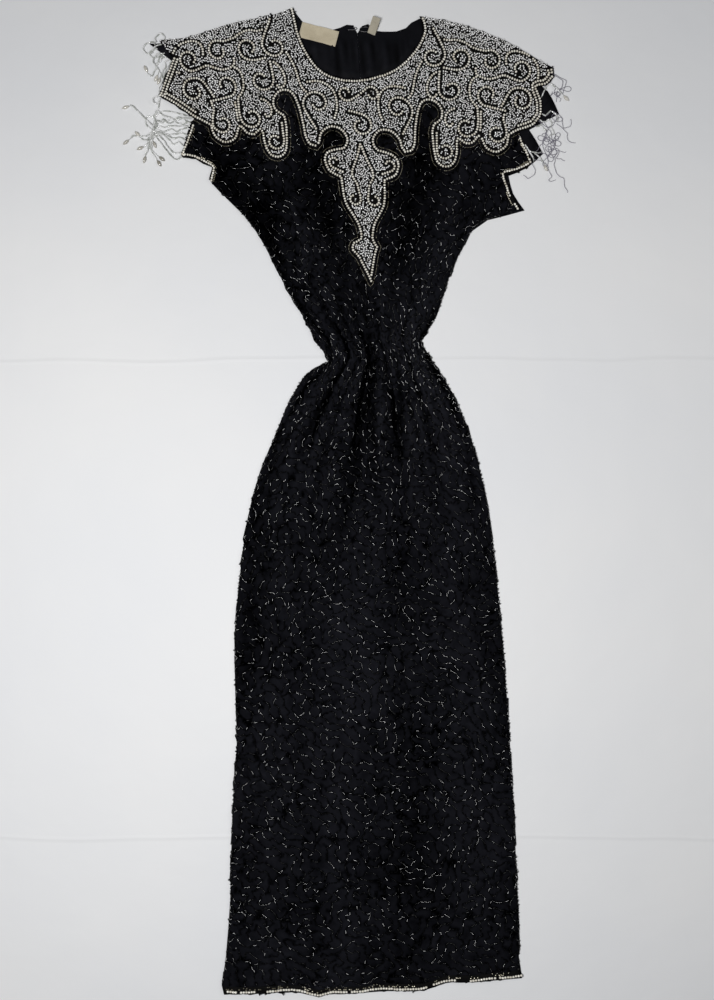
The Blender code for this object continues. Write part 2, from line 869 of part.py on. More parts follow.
def strand_roots(path, tufts):
    """Return the distance along a path of each strand, with its heading and reach."""
    marks = [0.0]
    for start, end in zip(path, path[1:]):
        marks.append(marks[-1] + (end - start).length)
    roots = []
    for tuft in tufts:
        for order in range(tuft.count):
            part = order / (tuft.count - 1)
            place = marks[-1] * (tuft.start + (tuft.end - tuft.start) * part)
            near = min(marks, key=lambda mark: abs(mark - place))
            if abs(near - place) < 2 * STRAND_HALF:
                place = near + 2.5 * STRAND_HALF
            heading = tuft.heading + (tuft.last_heading - tuft.heading) * part
            uneven = 1 + 0.12 * math.sin(7.0 * order + tuft.count)
            roots.append((place, heading, (tuft.reach + (tuft.last_reach - tuft.reach) * part) * uneven))
    return marks, roots


def strip_station(path, marks, place):
    """Return the point and the outward normal at a distance along a path."""
    normals = path_normals(path)
    for index, mark in enumerate(marks):
        if abs(mark - place) < WELD:
            return path[index], -normals[index]
    index = max(i for i in range(len(marks) - 1) if marks[i] < place)
    run = (path[index + 1] - path[index]).normalized()
    return path[index] + run * (place - marks[index]), Vector((run.y, -run.x))


def add_strand(shape, base, root, heading, reach, sag):
    """Draw one strand out of an open side of the strip."""
    along = (base[1].co - base[0].co).normalized()
    middle_height = (STRIP_BOTTOM + STRIP_TOP) / 2
    place = root.copy()
    last = 0.0
    rings = [base]
    for ring in STRAND_RINGS:
        angle = math.radians(heading + sag * ring.along)
        ahead = Vector((math.cos(angle), math.sin(angle)))
        place = place + ahead * reach * (ring.along - last)
        last = ring.along
        across = Vector((-ahead.y, ahead.x))
        if across.dot(along.xy) < 0:
            across = -across
        fall = smooth_step((ring.along - STRAND_LEVEL) / (1 - STRAND_LEVEL))
        height = middle_height + (STRAND_END_HEIGHT - middle_height) * fall
        corners = ((-1, -1), (1, -1), (1, 1), (-1, 1))
        rings.append([
            shape.verts.new((*(place + across * side * ring.half), height + lift * ring.half))
            for side, lift in corners
        ])
    for lower, upper in zip(rings, rings[1:]):
        for index in range(4):
            following = (index + 1) % 4
            shape.faces.new([lower[index], lower[following], upper[following], upper[index]])
    shape.faces.new(rings[-1])


def build_fringe(name, path, tufts, sag, material):
    """Make the strip along a sleeve edge with its beaded strands."""
    marks, roots = strand_roots(path, tufts)
    gates = {}
    for place, heading, reach in roots:
        gates[place - STRAND_HALF] = (place, heading, reach)
    stations = sorted(marks + list(gates) + [gate[0] + STRAND_HALF for gate in gates.values()])
    shape = bmesh.new()
    rings = []
    for station in stations:
        point, normal = strip_station(path, marks, station)
        near = point + normal * STRIP_OFFSET
        far = point + normal * (STRIP_OFFSET + STRIP_WIDTH)
        corners = ((near, STRIP_BOTTOM), (far, STRIP_BOTTOM), (far, STRIP_TOP), (near, STRIP_TOP))
        rings.append([shape.verts.new((*place, height)) for place, height in corners])
    for station, first, second in zip(stations, rings, rings[1:]):
        for index in range(4):
            following = (index + 1) % 4
            if index == 1 and station in gates:
                base = [first[1], second[1], second[2], first[2]]
                _, heading, reach = gates[station]
                root = (base[0].co.xy + base[1].co.xy) / 2
                add_strand(shape, base, root, heading, reach, sag)
            else:
                shape.faces.new([first[index], first[following], second[following], second[index]])
    shape.faces.new(rings[0])
    shape.faces.new(rings[-1])
    bmesh.ops.recalc_face_normals(shape, faces=shape.faces)
    add_object(name, shape, material)


def build_fringes(outline, places, material):
    """Make the fringe along each sleeve edge."""
    left_runs = places["left_high_sleeve"] + places["left_low_sleeve"]
    left_path = [outline[i] for i in range(left_runs[0], left_runs[-1] + 1)]
    left_end = next(i for i, point in enumerate(left_path) if point.y < 1265)
    build_fringe("fringe_left", left_path[: left_end + 1], LEFT_TUFTS, STRAND_SAG, material)
    right_runs = places["right_low_sleeve"] + places["right_high_sleeve"]
    right_path = [outline[i] for i in range(right_runs[0], right_runs[-1] + 1)]
    right_start = next(i for i, point in enumerate(right_path) if point.y > 1251)
    build_fringe("fringe_right", right_path[right_start:], RIGHT_TUFTS, -STRAND_SAG, material)


def build_label(material):
    """Make the woven label that lies inside the back neck."""
    shape = bmesh.new()
    place = Vector((*LABEL_PLACE, BACK_WALL + SEAM_GAP + LABEL_SIZE[2] / 2))
    turn = Matrix.Rotation(math.radians(LABEL_TURN), 4, "Z")
    size = Matrix.Diagonal((*LABEL_SIZE, 1.0))
    bmesh.ops.create_cube(shape, size=1.0, matrix=Matrix.Translation(place) @ turn @ size)
    add_object("label", shape, material)


def build_tab(material):
    """Make the folded size tab, whose upper leaf stands up from its fold."""
    shape = bmesh.new()
    rise = math.radians(TAB_TILT)
    reach = Vector((math.cos(rise), math.sin(rise))) * TAB_LENGTH
    wall = Vector((-math.sin(rise), math.cos(rise))) * TAB_WALL
    fold = Vector((0, TAB_WALL))
    profile = [
        Vector((0, 0)),
        Vector((TAB_LENGTH * 0.8, 0)),
        Vector((TAB_LENGTH * 0.8, TAB_WALL)),
        fold + Vector((3 * TAB_WALL, 0)),
        fold + reach,
        fold + reach + wall,
        fold + wall,
    ]
    corners = [shape.verts.new((-TAB_WIDTH / 2, point.x, point.y)) for point in profile]
    face = shape.faces.new(corners)
    grown = bmesh.ops.extrude_face_region(shape, geom=[face])["geom"]
    moved = [item for item in grown if isinstance(item, bmesh.types.BMVert)]
    bmesh.ops.translate(shape, verts=moved, vec=(TAB_WIDTH, 0, 0))
    bmesh.ops.recalc_face_normals(shape, faces=shape.faces)
    place = Matrix.Translation((*TAB_PLACE, BACK_WALL + SEAM_GAP))
    turn = Matrix.Rotation(math.radians(TAB_TURN), 4, "Z")
    bmesh.ops.transform(shape, matrix=place @ turn, verts=shape.verts)
    add_object("size_tab", shape, material)


def build_wire(name, route, material):
    """Make a bent wire that lies on a back panel."""
    curve = bpy.data.curves.new(name, "CURVE")
    curve.dimensions = "3D"
    curve.bevel_depth = WIRE * MM
    curve.bevel_resolution = 2
    curve.use_fill_caps = True
    spline = curve.splines.new("POLY")
    spline.points.add(len(route) - 1)
    for point, (x, y) in zip(spline.points, route):
        point.co = (x * MM, y * MM, (BACK_WALL + SEAM_GAP + WIRE_HEIGHT) * MM, 1.0)
    curve.materials.append(material)
    piece = bpy.data.objects.new(name, curve)
    bpy.context.scene.collection.objects.link(piece)


def centre_on_surface():
    """Move every piece so that the middle of the footprint is the origin."""
    bpy.context.view_layer.update()
    pieces = list(bpy.context.scene.objects)
    corners = [piece.matrix_world @ Vector(corner) for piece in pieces for corner in piece.bound_box]
    middle_x = (min(c.x for c in corners) + max(c.x for c in corners)) / 2
    middle_y = (min(c.y for c in corners) + max(c.y for c in corners)) / 2
    for piece in pieces:
        piece.location -= Vector((middle_x, middle_y, 0))


def main():
    """Build the whole dress."""
    for old in list(bpy.data.objects):
        bpy.data.objects.remove(old)
    materials = {
        "silk": make_material("black_silk", (0.006, 0.006, 0.009), 0.45),
        "lining": make_material("black_lining", (0.008, 0.008, 0.010), 0.6),
        "seed_beads": make_material("silver_seed_beads", (0.55, 0.54, 0.50), 0.25, 0.4),
        "pearls": make_material("ivory_pearls", (0.72, 0.67, 0.56), 0.3),
        "glass": make_material("clear_glass_beads", (0.75, 0.75, 0.72), 0.12),
        "label": make_material("cream_label", (0.70, 0.62, 0.44), 0.7),
        "tab": make_material("white_tab", (0.72, 0.72, 0.70), 0.75),
        "steel": make_material("fastening_wire", (0.55, 0.55, 0.56), 0.3, 1.0),
    }
    outline, places = build_front(materials)
    build_backs(materials)
    build_fringes(outline, places, materials["glass"])
    build_label(materials["label"])
    build_tab(materials["tab"])
    build_wire("neck_hook", HOOK_ROUTE, materials["steel"])
    build_wire("neck_eye", EYE_ROUTE, materials["steel"])
    centre_on_surface()


main()
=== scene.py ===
"""Looks of a black beaded evening dress that lies flat on white paper.

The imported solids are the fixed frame. Each class below stands for one sub-assembly: it copies
the solids that it dresses, works them finer, sews its beads on them and gives them a finish.
Places are in millimetres on the laid garment, as its maker would draw them: x to the right, y up
from the lowest point of the hem and z up from the paper. A piece is taken to metres at the end.
"""

from __future__ import annotations

import json
import logging
import math
import random
from collections.abc import Callable, Iterable, Sequence
from dataclasses import dataclass, field
from enum import Enum
from typing import NamedTuple

import bmesh
import bpy
import numpy as np
from mathutils import Matrix, Vector, noise
from mathutils.bvhtree import BVHTree
from mathutils.kdtree import KDTree

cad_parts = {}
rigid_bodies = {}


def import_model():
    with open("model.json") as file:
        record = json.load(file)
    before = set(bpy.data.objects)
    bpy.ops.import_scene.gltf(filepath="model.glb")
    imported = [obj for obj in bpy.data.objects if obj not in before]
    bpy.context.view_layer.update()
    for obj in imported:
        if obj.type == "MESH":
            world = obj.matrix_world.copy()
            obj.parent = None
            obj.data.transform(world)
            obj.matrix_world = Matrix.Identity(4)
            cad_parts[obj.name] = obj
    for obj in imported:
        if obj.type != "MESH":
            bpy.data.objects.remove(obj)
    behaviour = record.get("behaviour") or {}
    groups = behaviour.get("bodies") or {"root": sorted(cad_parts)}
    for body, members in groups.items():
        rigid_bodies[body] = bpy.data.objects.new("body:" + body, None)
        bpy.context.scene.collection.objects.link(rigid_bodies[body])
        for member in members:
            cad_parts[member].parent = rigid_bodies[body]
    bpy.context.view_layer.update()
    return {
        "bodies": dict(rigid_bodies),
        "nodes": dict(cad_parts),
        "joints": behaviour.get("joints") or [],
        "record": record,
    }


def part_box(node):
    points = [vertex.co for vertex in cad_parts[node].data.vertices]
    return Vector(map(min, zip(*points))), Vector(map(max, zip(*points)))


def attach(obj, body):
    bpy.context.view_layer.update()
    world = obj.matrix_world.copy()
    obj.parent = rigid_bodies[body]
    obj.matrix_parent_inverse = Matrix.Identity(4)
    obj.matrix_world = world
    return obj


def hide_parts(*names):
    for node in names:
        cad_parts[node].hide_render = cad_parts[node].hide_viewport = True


LOG = logging.getLogger("evening_dress")

Piece = bpy.types.Object
Shape = bmesh.types.BMesh
Edge = bmesh.types.BMEdge
Socket = bpy.types.NodeSocket

MM = 0.001
FRONT_CORNER = (-320.0, 2.0)
UP = Vector((0, 0, 1))
SKY = 80.0
ROUNDING_STEP = 2.5


class Mark(NamedTuple):
    """A named place on the outline, in drawing millimetres."""

    x: float
    y: float


NECK_RIGHT = Mark(71, 1473)
NECK_LEFT = Mark(-118, 1485)
PATCH_LEFT = Mark(-298, 1411)
POINT_LEFT = Mark(-320, 1353)
NOTCH_LEFT = Mark(-268, 1320)
NOTCH_RIGHT = Mark(224, 1291)
SCALLOP_RIGHT = Mark(220, 1299)
TIP_RIGHT = Mark(271, 1395)
HEM_LEFT = Mark(-222, 5)
HEM_RIGHT = Mark(225, 30)
UNDERARM_LEFT = Mark(-201, 1183)
UNDERARM_RIGHT = Mark(195, 1175)


class Slot(Enum):
    """The record's material slots."""

    SILK = "silk"
    LINING = "lining"
    SEEDS = "seed_beads"
    PEARLS = "pearls"
    GLASS = "glass_beads"
    LABEL = "woven_label"
    TAB = "white_tab"
    FASTENING = "fastening"


class Station(NamedTuple):
    """Where the folds of the front fan out between at a height, and the width of its cut there."""

    height: float
    left: float
    right: float
    cut: float


FAN = (
    Station(0, -222, 224, 446),
    Station(250, -209, 211, 430),
    Station(535, -203, 193, 430),
    Station(745, -177, 169, 430),
    Station(840, -143, 145, 430),
    Station(895, -112, 119, 425),
    Station(930, -86, 99, 415),
    Station(960, -61, 81, 410),
    Station(985, -65, 70, 405),
    Station(1010, -86, 82, 400),
    Station(1050, -115, 101, 400),
    Station(1085, -134, 114, 405),
    Station(1165, -178, 157, 420),
    Station(1230, -240, 215, 470),
    Station(1490, -330, 290, 620),
)


def cross_place(x: float, y: float) -> tuple[float, float]:
    """Tell how far across the fan of folds a place lies.

    Args:
        x: Drawing x.
        y: Drawing y.

    Returns:
        The share of the way across, and the place across the flat cut in millimetres.
    """
    heights = [row.height for row in FAN]
    left = float(np.interp(y, heights, [row.left for row in FAN]))
    right = float(np.interp(y, heights, [row.right for row in FAN]))
    cut = float(np.interp(y, heights, [row.cut for row in FAN]))
    share = (x - left) / (right - left)
    return share, (share - 0.5) * cut


def limit(value: float) -> float:
    """Keep a value between 0 and 1."""
    return min(max(value, 0.0), 1.0)


def ease(value: float) -> float:
    """Ease a value from 0 to 1."""
    value = limit(value)
    return value * value * (3 - 2 * value)


def swell(x: float, y: float, z: float) -> float:
    """Read the smooth noise at a place."""
    return noise.noise(Vector((x, y, z)))


def heading_to(angle: float) -> Vector:
    """Point a flat unit vector at an angle in radians."""
    return Vector((math.cos(angle), math.sin(angle)))


def below(tree: BVHTree, x: float, y: float) -> tuple[Vector | None, Vector | None]:
    """Find the point and normal of a search tree that show from above, or None twice."""
    return tree.ray_cast(Vector((x, y, SKY)), -UP)[:2]


def put(name: str, data: bpy.types.ID) -> Piece:
    """Put an object with its data into the scene."""
    found = bpy.data.objects.new(name, data)
    bpy.context.scene.collection.objects.link(found)
    return found


def as_mesh(name: str, shape: Shape) -> bpy.types.Mesh:
    """Turn a bmesh, which is freed, into a mesh."""
    mesh = bpy.data.meshes.new(name)
    shape.to_mesh(mesh)
    shape.free()
    return mesh


def thicken(shape: Shape, wall: float, place: Matrix) -> None:
    """Give a flat shape a wall and lay it in its place."""
    bmesh.ops.solidify(shape, geom=[*shape.verts, *shape.edges, *shape.faces], thickness=wall)
    bmesh.ops.recalc_face_normals(shape, faces=shape.faces)
    bmesh.ops.transform(shape, matrix=place, verts=shape.verts)


def tint_points(mesh: bpy.types.Mesh, tints: np.ndarray) -> None:
    """Give each point of a mesh its tint."""
    painted_shade_layer = mesh.attributes.new("tint", "FLOAT", "POINT")
    painted_shade_layer.data.foreach_set("value", tints.astype(np.float32))


def link_ends(edges: Iterable[Edge]) -> dict[int, list[int]]:
    """List the neighbours of each point along some edges."""
    follow: dict[int, list[int]] = {}
    for edge in edges:
        first, second = (vert.index for vert in edge.verts)
        follow.setdefault(first, []).append(second)
        follow.setdefault(second, []).append(first)
    return follow


def curve_through(points: Sequence[Vector], step: float, closed: bool = False) -> list[Vector]:
    """Draw a smooth curve through a few points.

    Args:
        points: The points that it runs through.
        step: About how far apart the curve's own points lie.
        closed: Whether the curve comes back to its first point.

    Returns:
        The points of the curve.
    """
    if len(points) < 3:
        return list(points)
    if closed:
        guides = [points[-1], *points, points[0], points[1]]
    else:
        guides = [2 * points[0] - points[1], *points, 2 * points[-1] - points[-2]]
    path = [points[0].copy()]
    for before, start, end, after in zip(guides, guides[1:], guides[2:], guides[3:]):
        count = max(1, round((end - start).length / step))
        for part in range(1, count + 1):
            t = part / count
            slope_in, slope_out = (end - before) / 2, (after - start) / 2
            path.append(
                start * (2 * t**3 - 3 * t**2 + 1)
                + slope_in * (t**3 - 2 * t**2 + t)
                + end * (3 * t**2 - 2 * t**3)
                + slope_out * (t**3 - t**2)
            )
    return path


def round_between_corners(path: Sequence[Vector], step: float, sharpest: float = 38.0) -> list[Vector]:
    """Smooth a path that has corners, and keep the corners.

    Args:
        path: The points of the path.
        step: About how far apart the new points lie.
        sharpest: The turn in degrees past which a point is a corner.

    Returns:
        The points of the smoothed path.
    """
    smooth: list[Vector] = []
    run = [path[0]]
    for before, here, after in zip(path, path[1:], path[2:]):
        run.append(here)
        if (here - before).angle(after - here, 0.0) > math.radians(sharpest):
            smooth += curve_through(run, step)[:-1]
            run = [here]
    run.append(path[-1])
    return smooth + curve_through(run, step)


def beside(path: Sequence[Vector], distance: float) -> list[Vector]:
    """Move a path to its left.

    Args:
        path: The points of the path.
        distance: How far, in millimetres; below zero is to the right.

    Returns:
        The moved points, without those that a tight bend would fold back.
    """
    moved: list[Vector] = []
    for index, point in enumerate(path):
        before, after = path[max(index - 1, 0)], path[min(index + 1, len(path) - 1)]
        run = (after - before).normalized()
        moved.append(point + Vector((-run.y, run.x)) * distance)
    kept = [moved[0]]
    for start, end, point in zip(path, path[1:], moved[1:]):
        if (point - kept[-1]).dot(end - start) > 0:
            kept.append(point)
    return kept


def paced(path: Sequence[Vector], pitch: float) -> list[tuple[Vector, Vector]]:
    """Pace along a path.

    Args:
        path: The points of the path.
        pitch: The distance from one place to the next.

    Returns:
        Each place, with the direction of the path there.
    """
    places: list[tuple[Vector, Vector]] = []
    ahead = pitch / 2
    for start, end in zip(path, path[1:]):
        length = (end - start).length
        while length > 0 and ahead < length:
            places.append((start.lerp(end, ahead / length), (end - start).normalized()))
            ahead += pitch
        ahead -= length
    return places


def between(loop: Sequence[Vector], start: Mark, end: Mark) -> list[Vector]:
    """Take the stretch of a loop from one named place on to another.

    Args:
        loop: A closed outline, anticlockwise.
        start: Where the stretch begins.
        end: Where it ends.

    Returns:
        The points of the stretch.
    """
    places = range(len(loop))
    first = min(places, key=lambda index: (loop[index].xy - Vector(start)).length)
    last = min(places, key=lambda index: (loop[index].xy - Vector(end)).length)
    if last <= first:
        last += len(loop)
    return [loop[index % len(loop)].xy for index in range(first, last + 1)]


class Garment:
    """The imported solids, seen in drawing millimetres."""

    def __init__(self, frame: dict) -> None:
        """Find how the drawing lies in the frame."""
        self.nodes = frame["nodes"]
        low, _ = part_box("front")
        corner = Vector((low.x - FRONT_CORNER[0] * MM, low.y - FRONT_CORNER[1] * MM, 0))
        self.to_frame = Matrix.Translation(corner) @ Matrix.Scale(MM, 4)
        self.to_drawing = self.to_frame.inverted()

    def copy(self, node: str) -> Shape:
        """Copy a node's solid, merged, in drawing millimetres."""
        shape = bmesh.new()
        shape.from_mesh(self.nodes[node].data)
        bmesh.ops.transform(shape, matrix=self.to_drawing, verts=shape.verts)
        bmesh.ops.remove_doubles(shape, verts=shape.verts, dist=0.01)
        shape.normal_update()
        return shape

    def tree(self, node: str) -> BVHTree:
        """Make a search tree of a node's solid, in drawing millimetres."""
        shape = self.copy(node)
        found = BVHTree.FromBMesh(shape)
        shape.free()
        return found

    def rim(self, node: str) -> list[Vector]:
        """Walk anticlockwise round the upper edge of a node's wall.

        Args:
            node: The node's name.

        Returns:
            The corners of the outline.
        """
        shape = self.copy(node)
        follow = link_ends(edge for edge in shape.edges if is_brink(edge))
        shape.verts.ensure_lookup_table()
        loop = [min(follow)]
        before = -1
        while len(loop) < 2 or loop[-1] != loop[0]:
            onward = [index for index in follow[loop[-1]] if index != before]
            before = loop[-1]
            loop.append(onward[0])
        points = [shape.verts[index].co.copy() for index in loop[:-1]]
        shape.free()
        area = sum(a.x * b.y - b.x * a.y for a, b in zip(points, points[1:] + points[:1]))
        return points if area > 0 else points[::-1]


def is_upper(edge: Edge) -> bool:
    """Tell whether an edge borders a face that looks up."""
    return any(face.normal.z > 0.3 for face in edge.link_faces)


def is_brink(edge: Edge) -> bool:
    """Tell whether an edge lies between a side wall and a face that looks up."""
    lifts = sorted(abs(face.normal.z) for face in edge.link_faces)
    return len(lifts) == 2 and lifts[0] < 0.3 < lifts[1] and is_upper(edge)


def refine(shape: Shape, longest: float, wanted: Callable[[Edge], bool] = bool) -> None:
    """Cut every edge that is longer than a size.

    Args:
        shape: The mesh to cut.
        longest: The longest edge that stays, in millimetres.
        wanted: Tells which edges are cut.
    """
    for _ in range(10):
        long_edges = [edge for edge in shape.edges if edge.calc_length() > longest and wanted(edge)]
        if not long_edges:
            break
        bmesh.ops.subdivide_edges(shape, edges=long_edges, cuts=1)
        bmesh.ops.triangulate(shape, faces=[face for face in shape.faces if len(face.verts) > 3])
    shape.normal_update()


class Lie:
    """The laid front, for what is sewn on it."""

    def __init__(self, shape: Shape) -> None:
        """Keep a search tree of the worked front."""
        self.tree = BVHTree.FromBMesh(shape)

    def over(self, x: float, y: float) -> tuple[Vector, Vector] | None:
        """Find the cloth straight below a place.

        Args:
            x: Drawing x.
            y: Drawing y.

        Returns:
            The point on the cloth and its normal, or None past its edge.
        """
        point, normal = below(self.tree, x, y)
        return (point, normal) if point is not None else None

    def on(self, x: float, y: float, lift: float) -> Vector:
        """Place a point over the cloth, or over its nearest edge.

        Args:
            x: Drawing x.
            y: Drawing y.
            lift: How far above the cloth, in millimetres.

        Returns:
            The point.
        """
        found = self.over(x, y)
        if found is None:
            nearest, _, _, _ = self.tree.find_nearest(Vector((x, y, 12)))
            return Vector((x, y, nearest.z + lift))
        return Vector((x, y, found[0].z + lift))


class Graph:
    """A node tree that is being written."""

    def __init__(self, tree: bpy.types.NodeTree) -> None:
        """Start on a tree."""
        self.tree = tree

    def add(self, kind: str, **settings: object) -> bpy.types.Node:
        """Add a node and set it.

        Args:
            kind: The node's type name, without the common start.
            settings: Its properties, and its inputs by name with underscores.

        Returns:
            The node.
        """
        return self.set(self.tree.nodes.new("ShaderNode" + kind), **settings)

    def set(self, node: bpy.types.Node, **settings: object) -> bpy.types.Node:
        """Set a node's properties and inputs.

        Args:
            node: The node.
            settings: Its properties, and its inputs by name with underscores.

        Returns:
            The same node.
        """
        for name, value in settings.items():
            if hasattr(node, name):
                setattr(node, name, value)
            else:
                self.feed(node.inputs[name.replace("_", " ")], value)
        return node

    def feed(self, target: Socket, source: object) -> None:
        """Link a socket to another, or give it a fixed value."""
        if isinstance(source, Socket):
            self.tree.links.new(source, target)
        else:
            target.default_value = source

    def ramp(self, factor: Socket, stops: Sequence[tuple[float, Sequence[float]]]) -> Socket:
        """Run a value through a colour ramp.

        Args:
            factor: The value.
            stops: Each place on the ramp with its colour.

        Returns:
            The colour's socket.
        """
        node = self.add("ValToRGB", Fac=factor)
        for element, (place, colour) in zip(node.color_ramp.elements, stops):
            element.position = place
            element.color = (*colour, 1.0)
        return node.outputs["Color"]

    def math(self, operation: str, first: Socket, second: Socket | float) -> Socket:
        """Work out a value from two.

        Args:
            operation: The Math node's operation.
            first: The first value.
            second: The second value, linked or fixed.

        Returns:
            The result's socket.
        """
        node = self.add("Math", operation=operation)
        self.feed(node.inputs[0], first)
        self.feed(node.inputs[1], second)
        return node.outputs[0]

    def mix(self, factor: Socket, first: object, second: object) -> Socket:
        """Mix two colours.

        Args:
            factor: The share of the second.
            first: The first colour, linked or fixed.
            second: The second colour, linked or fixed.

        Returns:
            The mixed colour's socket.
        """
        node = self.add("Mix", data_type="RGBA", Factor=factor)
        self.feed(node.inputs[6], first)
        self.feed(node.inputs[7], second)
        return node.outputs[2]

    def bump(self, height: Socket, strength: Socket | float, distance: float) -> Socket:
        """Turn a height into a normal.

        Args:
            height: The height.
            strength: How much of it shows, linked or fixed.
            distance: How deep it is, in metres.

        Returns:
            The normal's socket.
        """
        return self.add("Bump", Height=height, Strength=strength, Distance=distance).outputs["Normal"]

    def clouds(self, place: Socket, **settings: float) -> Socket:
        """Make soft noise at a place."""
        return self.add("TexNoise", Vector=place, **settings).outputs["Fac"]

    def place(self) -> Socket:
        """Give the place on the object."""
        return self.add("TexCoord").outputs["Object"]

    def tint(self) -> Socket:
        """Give the tint that a point carries: a bead's own tone, and painted shade on the front and back
        panels.
        """
        return self.add("Attribute", attribute_name="tint").outputs["Fac"]


class Groups:
    """The effects that several finishes share."""

    def __init__(self) -> None:
        """Build each group once."""
        self.grain = self.build_grain()
        self.variety = self.build_variety()

    @staticmethod
    def start(name: str, inputs: dict[str, object], outputs: dict[str, str]) -> tuple[Graph, dict, dict]:
        """Start a group with its sockets.

        Args:
            name: The group's name.
            inputs: Each input's name and default, which is a colour or a number.
            outputs: Each output's name and kind.

        Returns:
            The group's graph, what it is given and where it puts what it makes.
        """
        tree = bpy.data.node_groups.new(name, "ShaderNodeTree")
        for label, value in inputs.items():
            kind = "Color" if isinstance(value, tuple) else "Float"
            socket = tree.interface.new_socket(label, in_out="INPUT", socket_type="NodeSocket" + kind)
            socket.default_value = value
        for label, kind in outputs.items():
            tree.interface.new_socket(label, in_out="OUTPUT", socket_type="NodeSocket" + kind)
        given, made = tree.nodes.new("NodeGroupInput"), tree.nodes.new("NodeGroupOutput")
        return Graph(tree), given.outputs, made.inputs

    def build_grain(self) -> bpy.types.NodeTree:
        """Build the cloth grain: two crossed sets of yarns, blurred by slubs and wear, and darkened by
        painted shade where a point's tint is low.

        Returns:
            A group that puts out a shade from 0 to 1 and a normal.
        """
        inputs = {"Yarns": 900.0, "Depth": 0.2, "Hollows": 0.0}
        graph, given, made = self.start("cloth grain", inputs, {"Shade": "Float", "Normal": "Vector"})
        place = graph.place()
        yarns = [
            graph.add(
                "TexWave", bands_direction=direction, Vector=place, Scale=given["Yarns"],
                Distortion=0.6, Detail=1.0, Detail_Scale=2.0,
            ).outputs["Fac"]
            for direction in ("X", "Y")
        ]
        crossed = graph.math("MULTIPLY", graph.math("MAXIMUM", *yarns), 0.4)
        slub = graph.clouds(place, Scale=55.0, Detail=5.0, Roughness=0.65)
        worn = graph.math("ADD", crossed, graph.math("MULTIPLY", slub, 0.75))
        # Painted shade: the point's tint darkens the grain as far as this input asks.
        shade_dip = graph.math("MULTIPLY", graph.math("SUBTRACT", graph.tint(), 1.0), given["Hollows"])
        shade = graph.math("MULTIPLY", worn, graph.math("ADD", shade_dip, 1.0))
        graph.feed(made["Shade"], shade)
        graph.feed(made["Normal"], graph.bump(shade, given["Depth"], 0.0004))
        return graph.tree

    def build_variety(self) -> bpy.types.NodeTree:
        """Build the variety of beads: each has its own tint, with grime and fine pits.

        Returns:
            A group that puts out a colour, a roughness and a normal.
        """
        inputs = {"Dark": (0.3, 0.3, 0.3, 1), "Light": (0.8, 0.8, 0.8, 1), "Grime": 0.3, "Polish": 0.2}
        outputs = {"Color": "Color", "Roughness": "Float", "Normal": "Vector"}
        graph, given, made = self.start("bead variety", inputs, outputs)
        dirt = graph.clouds(graph.place(), Scale=420.0, Detail=4.0)
        blend = graph.mix(graph.tint(), given["Dark"], given["Light"])
        grime = graph.math("MULTIPLY", dirt, given["Grime"])
        graph.feed(made["Color"], graph.mix(grime, blend, (0.10, 0.085, 0.06, 1)))
        graph.feed(made["Roughness"], graph.math("ADD", given["Polish"], graph.math("MULTIPLY", dirt, 0.18)))
        graph.feed(made["Normal"], graph.bump(dirt, 0.12, 0.0002))
        return graph.tree


@dataclass(frozen=True)
class ClothFinish:
    """A woven finish."""

    name: str
    dark: tuple[float, float, float]
    light: tuple[float, float, float]
    yarns: float
    depth: float
    roughness: float
    specular: float
    # How far each point's tint darkens the colour with painted shade.
    painted_shade: float = 0.0

    def make(self, groups: Groups) -> bpy.types.Material:
        """Build the material.

        Args:
            groups: The shared effects.

        Returns:
            The material.
        """
        graph, shader = start_material(self.name)
        settings = {"Yarns": self.yarns, "Depth": self.depth, "Hollows": self.painted_shade}
        grain = graph.add("Group", node_tree=groups.grain, **settings).outputs
        rough = graph.math("SUBTRACT", graph.math("MULTIPLY", grain["Shade"], -0.15), -self.roughness)
        graph.set(
            shader,
            Base_Color=graph.ramp(grain["Shade"], ((0.12, self.dark), (0.8, self.light))),
            Roughness=rough,
            Normal=grain["Normal"],
            Specular_IOR_Level=self.specular,
        )
        return bpy.data.materials[self.name]


@dataclass(frozen=True)
class BeadFinish:
    """A bead's finish, with its own tint on each bead."""

    name: str
    dark: tuple[float, float, float]
    light: tuple[float, float, float]
    polish: float
    grime: float = 0.2
    metallic: float = 0.0
    coat: float = 0.0
    specular: float = 0.5
    transmission: float = 0.0

    def make(self, groups: Groups) -> bpy.types.Material:
        """Build the material.

        Args:
            groups: The shared effects.

        Returns:
            The material.
        """
        graph, shader = start_material(self.name)
        colours = {"Dark": (*self.dark, 1), "Light": (*self.light, 1)}
        variety = graph.add(
            "Group", node_tree=groups.variety, **colours, Grime=self.grime, Polish=self.polish
        ).outputs
        graph.set(
            shader,
            Base_Color=variety["Color"],
            Roughness=variety["Roughness"],
            Normal=variety["Normal"],
            Metallic=self.metallic,
            Coat_Weight=self.coat,
            Coat_Roughness=0.08,
            Specular_IOR_Level=self.specular,
            Transmission_Weight=self.transmission,
        )
        return bpy.data.materials[self.name]


def start_material(name: str) -> tuple[Graph, bpy.types.Node]:
    """Start a material.

    Args:
        name: The material's name.

    Returns:
        Its graph and its Principled shader.
    """
    material = bpy.data.materials.new(name)
    material.use_nodes = True
    return Graph(material.node_tree), material.node_tree.nodes["Principled BSDF"]
